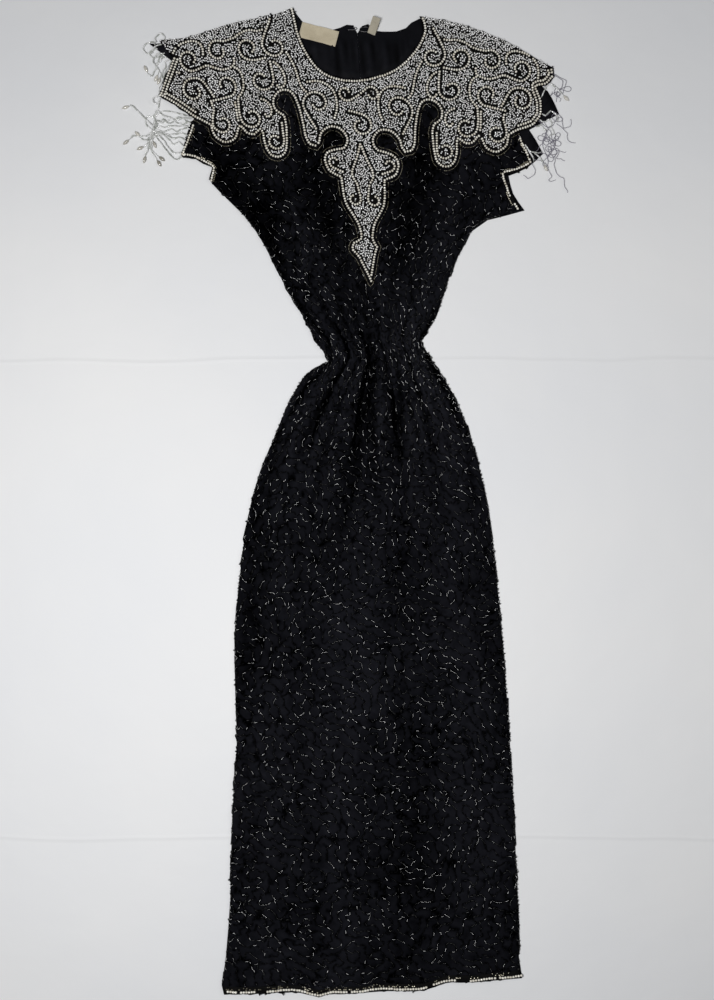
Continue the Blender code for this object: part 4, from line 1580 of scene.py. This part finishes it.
    def build_edge_line(self, rim: Sequence[Vector]) -> Piece:
        """Sew the fine dull line of seeds just past the scrolled lower edge.

        Args:
            rim: The yoke's outline.

        Returns:
            The line's piece.
        """
        maker = self.maker
        beads = Strewing(BeadShape.SEED)
        path = round_between_corners(between(rim, NOTCH_LEFT, SCALLOP_RIGHT), 2.0)
        for place, along in paced(beside(path, self.edge_line_offset), self.edge_line_pitch):
            if self.lie.over(place.x, place.y) is None or maker.random() < 0.08:
                continue
            point = self.lie.on(place.x, place.y, 0.55)
            turn = Matrix.Rotation(maker.gauss(0, 0.25), 2)
            beads.add(point, (turn @ along).to_3d(), UP, Vector((0.55, 0.55, 0.95)), maker.random())
        return self.room.show("yoke_edge_line", beads, GOLD_SEED, Slot.SEEDS)


class EdgeRow(NamedTuple):
    """A row of beads along an edge: how far in it lies, and its pearls."""

    inset: float
    half: float
    pitch: float
    missing: float
    finish: BeadFinish


@dataclass
class EdgeTrims:
    """The pearl edging of the lower sleeve points and the hem."""

    room: Workroom
    lie: Lie
    band_lift: float = 0.7
    sleeve_rows: tuple[EdgeRow, ...] = (
        EdgeRow(3.4, 1.65, 3.8, 0.03, IVORY_PEARL),
        EdgeRow(6.4, 0.95, 2.5, 0.25, GOLD_SEED),
    )
    hem_rows: tuple[EdgeRow, ...] = (
        EdgeRow(4.2, 1.8, 4.0, 0.04, IVORY_PEARL),
        EdgeRow(7.6, 0.95, 2.7, 0.55, GOLD_SEED),
        EdgeRow(10.0, 0.6, 2.4, 0.80, GOLD_SEED),
    )
    worn_run: float = 30.0
    worn_share: float = 0.33
    wander: float = 2.4
    maker: random.Random = field(default_factory=lambda: random.Random(23))

    def build(self) -> list[Piece]:
        """Build the bands and the rows on them.

        Returns:
            The trims' pieces.
        """
        rim = self.room.garment.rim("front")
        runs = {
            "sleeve_trim_left": (between(rim, Mark(-271, 1311), Mark(-245, 1227)), self.sleeve_rows),
            "sleeve_trim_right": (between(rim, Mark(223, 1185), NOTCH_RIGHT), self.sleeve_rows),
            "hem_trim": (between(rim, HEM_LEFT, HEM_RIGHT), self.hem_rows),
        }
        pieces = []
        for node, (run, rows) in runs.items():
            pieces.append(self.build_band(node))
            pieces += self.build_rows(node, round_between_corners(run, ROUNDING_STEP), rows)
        return pieces

    def build_band(self, node: str) -> Piece:
        """Work the black band that carries the pearls."""
        shape = self.room.garment.copy(node)
        refine(shape, 8.0)
        for vert in shape.verts:
            lift = self.band_lift if vert.normal.z > 0.0 else 0.2
            vert.co.z = self.lie.on(vert.co.x, vert.co.y, lift).z
        return self.room.show(node + "_band", shape, BLACK_NET, Slot.PEARLS, (node,), 60)

    def build_rows(self, node: str, path: Sequence[Vector], rows: Sequence[EdgeRow]) -> list[Piece]:
        """Sew the rows along one edge.

        Args:
            node: The band's node.
            path: The edge, anticlockwise.
            rows: The rows.

        Returns:
            A piece for each row.
        """
        maker = self.maker
        pieces = []
        for order, row in enumerate(rows):
            beads = Strewing(BeadShape.PEARL if row.half > 1 else BeadShape.SEED)
            for place, along in paced(beside(path, row.inset), row.pitch):
                sway = swell(place.x / 40, place.y / 40, 2.9)
                place = place + Vector((-along.y, along.x)) * self.wander * sway
                worn = swell(place.x / self.worn_run, place.y / self.worn_run, row.inset)
                if maker.random() < row.missing or worn * (1.75 - row.half / 2) > self.worn_share:
                    continue
                point = self.lie.on(place.x, place.y, self.band_lift + row.half * 0.9)
                half = row.half * maker.uniform(0.92, 1.06)
                tint = limit(maker.gauss(0.7, 0.25))
                point += Vector((maker.gauss(0, 0.15), maker.gauss(0, 0.15), 0))
                beads.add(point, along.to_3d(), UP, Vector((half, half, half * 1.1)), tint)
            pieces.append(self.room.show(f"{node}_row_{order + 1}", beads, row.finish, Slot.PEARLS))
        return pieces


class Strand(NamedTuple):
    """A bead strand: its places, from the sleeve edge on, and whether it ends in a drop."""

    route: tuple[tuple[float, float], ...]
    has_drop: bool = False


LEFT_STRANDS = (
    Strand((
        (-269, 1320), (-287, 1326), (-300, 1330), (-315, 1330), (-325, 1323), (-336, 1323), (-340, 1317),
        (-339, 1311), (-330, 1302)
    )),
    Strand((
        (-270, 1318), (-291, 1321), (-306, 1317), (-315, 1313), (-322, 1317), (-328, 1309), (-328, 1300),
        (-334, 1286)
    )),
    Strand((
        (-271, 1315), (-284, 1312), (-293, 1313), (-302, 1321), (-313, 1324), (-321, 1330), (-327, 1324),
        (-325, 1312), (-330, 1300)
    )),
    Strand((
        (-272, 1311), (-284, 1318), (-296, 1317), (-304, 1311), (-314, 1318), (-323, 1309), (-329, 1299),
        (-333, 1290)
    )),
    Strand((
        (-273, 1308), (-291, 1308), (-300, 1309), (-310, 1306), (-319, 1308), (-327, 1304), (-331, 1294),
        (-334, 1281)
    )),
    Strand((
        (-273, 1303), (-283, 1305), (-293, 1300), (-302, 1304), (-312, 1300), (-321, 1302), (-329, 1296),
        (-335, 1284)
    )),
    Strand((
        (-276, 1293), (-286, 1298), (-297, 1296), (-306, 1296), (-317, 1298), (-326, 1299), (-331, 1290),
        (-334, 1276)
    )),
    Strand((
        (-279, 1285), (-288, 1291), (-297, 1289), (-306, 1293), (-315, 1296), (-323, 1297), (-330, 1288),
        (-332, 1277)
    )),
    Strand((
        (-282, 1276), (-290, 1284), (-298, 1281), (-306, 1289), (-318, 1296), (-328, 1293), (-333, 1283)
    )),
    Strand((
        (-284, 1270), (-290, 1268), (-300, 1270), (-308, 1279), (-315, 1289), (-323, 1294), (-330, 1291)
    )),
    Strand((
        (-286, 1264), (-291, 1258), (-297, 1259), (-304, 1266), (-312, 1276), (-319, 1285), (-325, 1293),
        (-331, 1296)
    )),
    Strand(((-318, 1350), (-321, 1336), (-325, 1326), (-327, 1317), (-328, 1306), (-332, 1295))),
    Strand(((-328, 1302), (-331, 1292), (-336, 1283), (-342, 1278), (-345, 1277)), True),
    Strand(((-326, 1300), (-331, 1297), (-343, 1293), (-358, 1293), (-365, 1289), (-366, 1286)), True),
    Strand(((-328, 1298), (-333, 1293), (-338, 1287), (-345, 1289), (-349, 1293)), True),
    Strand(((-329, 1296), (-333, 1287), (-336, 1275), (-339, 1266), (-341, 1262)), True),
    Strand(((-328, 1294), (-331, 1284), (-330, 1270), (-325, 1261), (-322, 1256)), True),
    Strand(((-330, 1296), (-334, 1284), (-333, 1276), (-329, 1270), (-323, 1265), (-319, 1262)), True),
    Strand(((-325, 1301), (-328, 1296), (-330, 1288), (-328, 1284)), True),
    Strand(((-325, 1303), (-330, 1309), (-342, 1321), (-353, 1332), (-360, 1339), (-367, 1338)), True),
    Strand(((-324, 1434), (-325, 1440), (-322, 1446), (-317, 1448), (-312, 1443), (-313, 1434))),
    Strand((
        (-326, 1430), (-328, 1434), (-336, 1433), (-343, 1426), (-339, 1418), (-330, 1420), (-326, 1428),
        (-318, 1431)
    )),
    Strand(((-322, 1424), (-326, 1425), (-333, 1416), (-328, 1411), (-319, 1413), (-312, 1420))),
    Strand(((-314, 1417), (-325, 1415), (-328, 1405), (-323, 1396), (-317, 1386), (-318, 1379)), True),
    Strand(((-308, 1412), (-313, 1411), (-319, 1405), (-325, 1398), (-319, 1390), (-323, 1384)), True),
    Strand(((-312, 1415), (-320, 1408), (-324, 1395), (-330, 1384), (-336, 1387), (-338, 1391)), True),
    Strand(((-303, 1408), (-309, 1404), (-311, 1396), (-315, 1386), (-314, 1378), (-318, 1368))),
    Strand(((-300, 1405), (-304, 1400), (-310, 1390), (-313, 1380), (-319, 1368), (-320, 1358))),
    Strand(((-317, 1354), (-324, 1353), (-329, 1348), (-325, 1341), (-320, 1343), (-318, 1349))),
)
RIGHT_STRANDS = (
    Strand(((265, 1370), (261, 1364), (254, 1353), (247, 1341), (244, 1326), (239, 1313))),
    Strand(((230, 1280), (233, 1275), (239, 1270), (247, 1269), (255, 1271))),
    Strand(((232, 1277), (236, 1270), (241, 1262), (243, 1255))),
    Strand(((268, 1372), (276, 1366), (281, 1360), (286, 1356), (289, 1353)), True),
    Strand(((244, 1322), (253, 1327), (262, 1324), (268, 1330), (275, 1327), (279, 1319), (272, 1314))),
    Strand(((243, 1316), (251, 1318), (258, 1314), (266, 1318), (270, 1310), (263, 1305))),
    Strand(((246, 1308), (254, 1309), (260, 1303), (268, 1306), (273, 1298), (266, 1293))),
    Strand(((243, 1268), (250, 1262), (256, 1254), (259, 1249)), True),
)
RIGHT_THREADS = (
    Strand(((268, 1388), (277, 1384), (289, 1378), (291, 1372), (288, 1362), (280, 1354), (277, 1347))),
    Strand(((264, 1380), (274, 1384), (284, 1377), (286, 1369), (279, 1361), (271, 1354), (268, 1362))),
    Strand(((258, 1366), (267, 1373), (275, 1368), (274, 1358), (281, 1351), (283, 1344))),
    Strand((
        (262, 1322), (272, 1330), (282, 1323), (287, 1313), (286, 1306), (295, 1306), (299, 1311),
        (297, 1318)
    )),
    Strand(((276, 1312), (286, 1305), (291, 1298), (294, 1289), (298, 1285), (304, 1283))),
    Strand(((258, 1316), (262, 1306), (261, 1297), (257, 1284), (252, 1276), (246, 1270))),
    Strand((
        (262, 1290), (270, 1283), (276, 1270), (274, 1256), (273, 1246), (280, 1235), (288, 1227),
        (290, 1218), (292, 1208)
    )),
    Strand(((264, 1272), (275, 1275), (281, 1268), (276, 1260), (283, 1258), (291, 1257))),
    Strand(((243, 1258), (257, 1254), (265, 1243), (268, 1233), (266, 1226), (275, 1229))),
    Strand(((240, 1252), (244, 1243), (243, 1235), (235, 1230), (226, 1234))),
    Strand(((250, 1268), (262, 1266), (272, 1262), (282, 1272), (290, 1270))),
)


class Tangle(NamedTuple):
    """A knot of loose thread: its middle, its half width and height, and its turns."""

    x: float
    y: float
    across: float
    up: float
    turns: float


RIGHT_TANGLES = (
    Tangle(265, 1281, 9, 12, 3.2),
    Tangle(272, 1283, 10, 8, 2.6),
    Tangle(276, 1316, 8, 9, 2.2),
    Tangle(256, 1289, 7, 6, 2.0),
    Tangle(268, 1268, 8, 8, 2.4),
    Tangle(280, 1365, 7, 8, 1.6),
)


@dataclass
class Fringe:
    """The loose bead strands of the sleeve edges, with their drops and torn threads."""

    room: Workroom
    lie: Lie
    floor_level: float = 1.9
    bugle_pitch: float = 4.9
    bugle_half: tuple[float, float] = (1.05, 2.15)
    drop_half: tuple[float, float] = (2.7, 6.0)
    thread_radius: float = 0.36
    knot_step: float = 1.1
    curl: float = 1.6
    seed: int = 31
    maker: random.Random = field(default_factory=random.Random)

    def route(self, strand: Strand) -> list[Vector]:
        """Draw a strand's centre line from the sleeve edge to its end.

        Args:
            strand: The strand.

        Returns:
            The line's points.
        """
        flat = curve_through([Vector(place) for place in strand.route], 1.6)
        rise = self.maker.uniform(0.0, 3.2)
        x, y = strand.route[0]
        start = self.lie.on(x, y, 0.4).z
        path = []
        for index, place in enumerate(flat):
            part = index / (len(flat) - 1)
            down = ease(part / 0.35)
            height = start + (self.floor_level + rise * math.sin(math.pi * part) - start) * down
            wobble = swell(place.x / 7, place.y / 7, y) * 1.7
            path.append(Vector((place.x + wobble, place.y - wobble, height)))
        return path

    def build(self) -> list[Piece]:
        """Build both fringes.

        Returns:
            The fringes' pieces.
        """
        pieces = []
        for side, strands in (("left", LEFT_STRANDS), ("right", RIGHT_STRANDS)):
            self.maker.seed(self.seed)
            routes = [self.route(strand) for strand in strands]
            bugles, drops = Strewing(BeadShape.BUGLE), Strewing(BeadShape.DROP)
            for strand, path in zip(strands, routes):
                self.thread(strand, path, bugles, drops)
            name = "fringe_" + side
            threads = tube_mesh(name + "_threads", routes, self.thread_radius)
            pieces += [
                self.room.show(name + "_bugles", bugles, CLEAR_BUGLE, Slot.GLASS, (name,), 70),
                self.room.show(name + "_drops", drops, SMOKE_DROP, Slot.GLASS),
                self.room.show(name + "_threads", threads, PALE_THREAD, Slot.GLASS),
            ]
        pieces.append(self.build_torn_threads())
        return pieces

    def thread(self, strand: Strand, path: Sequence[Vector], bugles: Strewing, drops: Strewing) -> None:
        """Thread the beads of one strand.

        Args:
            strand: The strand.
            path: Its centre line.
            bugles: The bugles so far.
            drops: The drops so far.
        """
        maker = self.maker
        width, length = self.bugle_half
        places = paced(path, self.bugle_pitch)
        for place, along in places[:-1] if strand.has_drop else places:
            half = Vector((width, width, length)) * maker.uniform(0.85, 1.1)
            bugles.add(place, along, UP, half, maker.random())
        if strand.has_drop:
            along = (path[-1] - path[-4]).normalized()
            along = Vector((along.x, along.y, 0)).normalized()
            width, length = self.drop_half
            middle = path[-1] + along * length * 0.6
            middle.z = self.floor_level + 0.3
            drops.add(middle, along, UP, Vector((width, width * 0.85, length)), maker.random())

    def knot(self, tangle: Tangle) -> list[Vector]:
        """Draw a tangle's thread, which loops round its middle.

        Args:
            tangle: The tangle.

        Returns:
            The thread's points.
        """
        maker = self.maker
        middle = Vector((tangle.x, tangle.y))
        place, heading, start = middle.copy(), maker.uniform(0, math.tau), maker.uniform(0, 900)
        path = []
        for index in range(round(tangle.turns * 44)):
            away = place - middle
            heading += 0.13 + 0.4 * swell(start + index * 0.04, 0, 0)
            if math.hypot(away.x / tangle.across, away.y / tangle.up) > 1:
                heading += 0.2 * math.sin(math.atan2(-away.y, -away.x) - heading)
            place = place + heading_to(heading) * self.knot_step
            rise = 1.5 + 1.2 * swell(start, index * 0.08, 0)
            path.append(Vector((*place, self.floor_level + rise)))
        return path

    def build_torn_threads(self) -> Piece:
        """Build the curled dark threads of the right sleeve."""
        self.maker.seed(self.seed + 4)
        paths = []
        for strand in RIGHT_THREADS:
            base = self.route(strand)
            curled = []
            phase = self.maker.uniform(0, math.tau)
            for index, place in enumerate(base):
                part = index / (len(base) - 1)
                angle = phase + index * 0.5
                reach = self.curl * part
                across, along = math.cos(angle) * reach, math.sin(angle) * reach
                curled.append(place + Vector((across, along, 0.3 * math.sin(angle * 0.5))))
            paths.append(curve_through(curled, 1.2))
        paths += [self.knot(tangle) for tangle in RIGHT_TANGLES]
        mesh = tube_mesh("torn_threads", paths, self.thread_radius)
        return self.room.show("torn_threads", mesh, DARK_THREAD, Slot.GLASS)


@dataclass
class NeckFittings:
    """The bare label, the folded tab and the neck fastening."""

    room: Workroom
    label_size: tuple[float, float] = (57.0, 23.0)
    label_place: Mark = Mark(-80, 1446)
    label_turn: float = -15.0
    label_wall: float = 0.45
    label_level: float = 2.2
    tab_size: tuple[float, float] = (12.0, 24.0)
    tab_place: Mark = Mark(-1, 1447)
    tab_turn: float = -21.0
    tab_tilt: float = 18.0
    tab_fold: float = 0.9
    tab_wall: float = 0.4
    tab_level: float = 1.9

    def build(self) -> list[Piece]:
        """Build the fittings.

        Returns:
            Their new pieces.
        """
        for node in ("neck_hook", "neck_eye"):
            for held in self.room.garment.nodes[node].material_slots:
                held.material = self.room.finish(BENT_STEEL)
        return [self.build_label(), self.build_label_stitches(), self.build_tab()]

    def label_matrix(self) -> Matrix:
        """Place the label inside the back neck."""
        turn = Matrix.Rotation(math.radians(self.label_turn), 4, "Z")
        return Matrix.Translation((*self.label_place, self.label_level)) @ turn

    def label_rise(self, x: float, y: float) -> float:
        """Work out how the sewn label buckles between its ends."""
        width, height = self.label_size
        buckle = 1.1 * math.cos(math.pi * x / width) * (0.7 + 0.5 * math.sin(2.1 * math.pi * x / width))
        curl = 0.9 * ease((y / height - 0.1) / 0.4) * ease(0.5 + x / width)
        return buckle + curl + 0.5 + 0.25 * swell(x / 7, y / 7, 4.4)

    def build_label(self) -> Piece:
        """Build the bare ribbon label, buckled between its sewn ends."""
        width, height = self.label_size
        shape = bmesh.new()
        bmesh.ops.create_grid(shape, x_segments=34, y_segments=12, size=0.5)
        bmesh.ops.transform(shape, matrix=Matrix.Diagonal((width, height, 1, 1)), verts=shape.verts)
        for vert in shape.verts:
            vert.co.z = self.label_rise(vert.co.x, vert.co.y)
            vert.co.y += 0.35 * swell(vert.co.x / 9, vert.co.y / 30, 1.1)
        thicken(shape, self.label_wall, self.label_matrix())
        return self.room.show("neck_label", shape, CREAM_RIBBON, Slot.LABEL, ("label",), 50)

    def build_label_stitches(self) -> Piece:
        """Sew the label down at both ends."""
        width, height = self.label_size
        place = self.label_matrix()
        beads = Strewing(BeadShape.SEED)
        for side in (-1, 1):
            for order in range(9):
                x, y = side * (width / 2 - 1.6), (order - 4) * height / 9.5
                point = place @ Vector((x, y, self.label_rise(x, y) + 0.45))
                along = place.to_3x3() @ Vector((0.3 * side, 1, 0))
                beads.add(point, along, UP, Vector((0.22, 0.18, 0.8)), 0.4)
        return self.room.show("label_stitches", beads, PALE_THREAD, Slot.LABEL)

    def build_tab(self) -> Piece:
        """Build the folded tab: a lower leaf, a round fold and an upper leaf that stands off."""
        width, length = self.tab_size
        tilt = math.radians(self.tab_tilt)
        shape = bmesh.new()
        profile = [Vector((-width / 2, length * (0.8 - 0.1 * part), 0.35)) for part in range(8)]
        for part in range(7):
            angle = -math.pi / 2 - (math.pi - tilt) * part / 6
            y, z = math.cos(angle) * self.tab_fold, math.sin(angle) * self.tab_fold
            profile.append(Vector((-width / 2, y, 1.25 + z)))
        last = profile[-1]
        ahead = Vector((0, math.cos(tilt), math.sin(tilt)))
        profile += [last + ahead * length * part / 8 for part in range(1, 9)]
        verts = [shape.verts.new(point) for point in profile]
        edges = [shape.edges.new(pair) for pair in zip(verts, verts[1:])]
        for _ in range(6):
            grown = bmesh.ops.extrude_edge_only(shape, edges=edges)["geom"]
            moved = [item for item in grown if isinstance(item, bmesh.types.BMVert)]
            bmesh.ops.translate(shape, verts=moved, vec=(width / 6, 0, 0))
            edges = [item for item in grown if isinstance(item, Edge)]
        for vert in shape.verts:
            vert.co.z += 0.5 * swell(vert.co.x / 6, vert.co.y / 6, 8.8)
        turn = Matrix.Rotation(math.radians(self.tab_turn), 4, "Z")
        thicken(shape, self.tab_wall, Matrix.Translation((*self.tab_place, self.tab_level)) @ turn)
        return self.room.show("size_tab_ribbon", shape, WHITE_RIBBON, Slot.TAB, ("size_tab",), 50)


@dataclass
class Studio:
    """The white paper, the soft lights and the camera above."""

    garment: Garment
    paper_half: float = 4000.0
    paper_step: int = 160
    paper_level: float = -0.15
    view_middle: Mark = Mark(-22.5, 747.0)
    view_height: float = 1500.0
    dress_level: float = 4.0
    lens: float = 40.0
    sensor: float = 36.0
    upper_crease: float = 958.0
    lower_crease: float = 238.0

    def build(self) -> None:
        """Set up the paper, lights and camera."""
        self.build_paper()
        self.build_lights()
        self.build_camera()

    def build_paper(self) -> None:
        """Lay the sheets of white paper, with the soft lines where they were folded."""
        shape = bmesh.new()
        step = self.paper_step
        bmesh.ops.create_grid(shape, x_segments=step, y_segments=step, size=self.paper_half)
        place = Matrix.Translation((*self.view_middle, 0))
        bmesh.ops.transform(shape, matrix=place, verts=shape.verts)
        for vert in shape.verts:
            vert.co.z = self.paper_level
        mesh = as_mesh("paper", shape)
        mesh.transform(self.garment.to_frame)
        mesh.shade_smooth()
        mesh.materials.append(self.paper_finish())
        put("paper", mesh)

    def paper_finish(self) -> bpy.types.Material:
        """Build the paper's finish: faint clouds, ripples and two fold lines, with painted shade along the
        fold lines.

        Returns:
            The material.
        """
        graph, shader = start_material("white_paper")
        place = graph.place()
        fibres = graph.clouds(place, Scale=2.2, Detail=3.0, Roughness=0.5)
        base = graph.ramp(fibres, ((0.3, (0.80, 0.81, 0.83)), (0.7, (0.86, 0.86, 0.86))))
        up = graph.add("SeparateXYZ", Vector=place).outputs["Y"]
        warp = graph.clouds(place, Scale=3.0, Detail=2.0)
        bent = graph.math("ADD", up, graph.math("MULTIPLY", warp, 0.03))
        lines = [self.crease_line(graph, bent, height) for height in (self.upper_crease, self.lower_crease)]
        crease = graph.math("MAXIMUM", *lines)
        ripple = graph.clouds(place, Scale=5.0, Detail=4.0, Roughness=0.55)
        height = graph.math("ADD", ripple, graph.math("MULTIPLY", crease, 0.12))
        graph.set(
            shader,
            # The fold lines darken the paper's colour: painted shade along the folds.
            Base_Color=graph.mix(graph.math("MULTIPLY", crease, 0.2), base, (0.70, 0.70, 0.71, 1)),
            Normal=graph.bump(height, 0.35, 0.01),
            Roughness=0.55,
            Specular_IOR_Level=0.3,
        )
        return bpy.data.materials["white_paper"]

    def crease_line(self, graph: Graph, along: Socket, height: float) -> Socket:
        """Draw one fold line of the paper.

        Args:
            graph: The paper's graph.
            along: The place up the paper, in metres.
            height: Where the line runs, in drawing millimetres.

        Returns:
            A mask that is 1 on the line.
        """
        level = (self.garment.to_frame @ Vector((0, height, 0))).y + 0.015
        away = graph.math("ABSOLUTE", graph.math("SUBTRACT", along, level), 0.0)
        near = graph.math("SUBTRACT", graph.math("MULTIPLY", away, -220.0), -1.0)
        return graph.math("MAXIMUM", near, 0.0)

    def build_lights(self) -> None:
        """Hang two soft boxes over a dim room."""
        target = self.garment.to_frame @ Vector((*self.view_middle, 0))
        for name, place, size, power in (
            ("key_box", (-0.42, -0.2, 1.9), (0.62, 0.62), 33.0),
            ("fill_box", (1.6, 0.6, 1.7), (1.4, 1.0), 7.0),
        ):
            lamp = bpy.data.lights.new(name, "AREA")
            lamp.shape = "RECTANGLE"
            lamp.size, lamp.size_y = size
            lamp.energy = power
            box = put(name, lamp)
            box.location = target + Vector(place)
            box.rotation_euler = (target - box.location).to_track_quat("-Z", "Y").to_euler()
        world = bpy.data.worlds.new("dim_room")
        world.use_nodes = True
        background = world.node_tree.nodes["Background"]
        background.inputs["Color"].default_value = (0.85, 0.88, 0.95, 1)
        background.inputs["Strength"].default_value = 0.035
        bpy.context.scene.world = world
        bpy.context.scene.view_settings.view_transform = "Standard"

    def build_camera(self) -> None:
        """Hang the camera straight above the middle of the photograph's frame."""
        camera = bpy.data.cameras.new("camera")
        camera.lens = self.lens
        camera.sensor_width = self.sensor
        camera.clip_start = 0.05
        holder = put("camera", camera)
        height = self.view_height * self.lens / self.sensor + self.dress_level
        holder.location = self.garment.to_frame @ Vector((*self.view_middle, height))
        bpy.context.scene.camera = holder


def clear_scene() -> None:
    """Remove what Blender starts with."""
    for old in list(bpy.data.objects):
        bpy.data.objects.remove(old)


def main() -> None:
    logging.basicConfig(level=logging.INFO, format="%(message)s")
    clear_scene()
    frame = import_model()
    garment = Garment(frame)
    room = Workroom(garment)

    Studio(garment).build()
    squiggles = SquiggleField()
    panel = FrontPanel(room, squiggles)
    front = panel.build()
    backs = BackPanels(room).build(panel.lie)
    covers = [garment.tree(node) for node in ("yoke", "sleeve_trim_left", "sleeve_trim_right", "hem_trim")]
    bugles = BugleSquiggles(room, squiggles, panel.lie, covers).build()
    yoke = Yoke(room, panel.lie).build()
    trims = EdgeTrims(room, panel.lie).build()
    Fringe(room, panel.lie).build()
    NeckFittings(room).build()
    LOG.info("all new pieces: %d triangles", room.triangles)


if __name__ == "__main__":
    main()
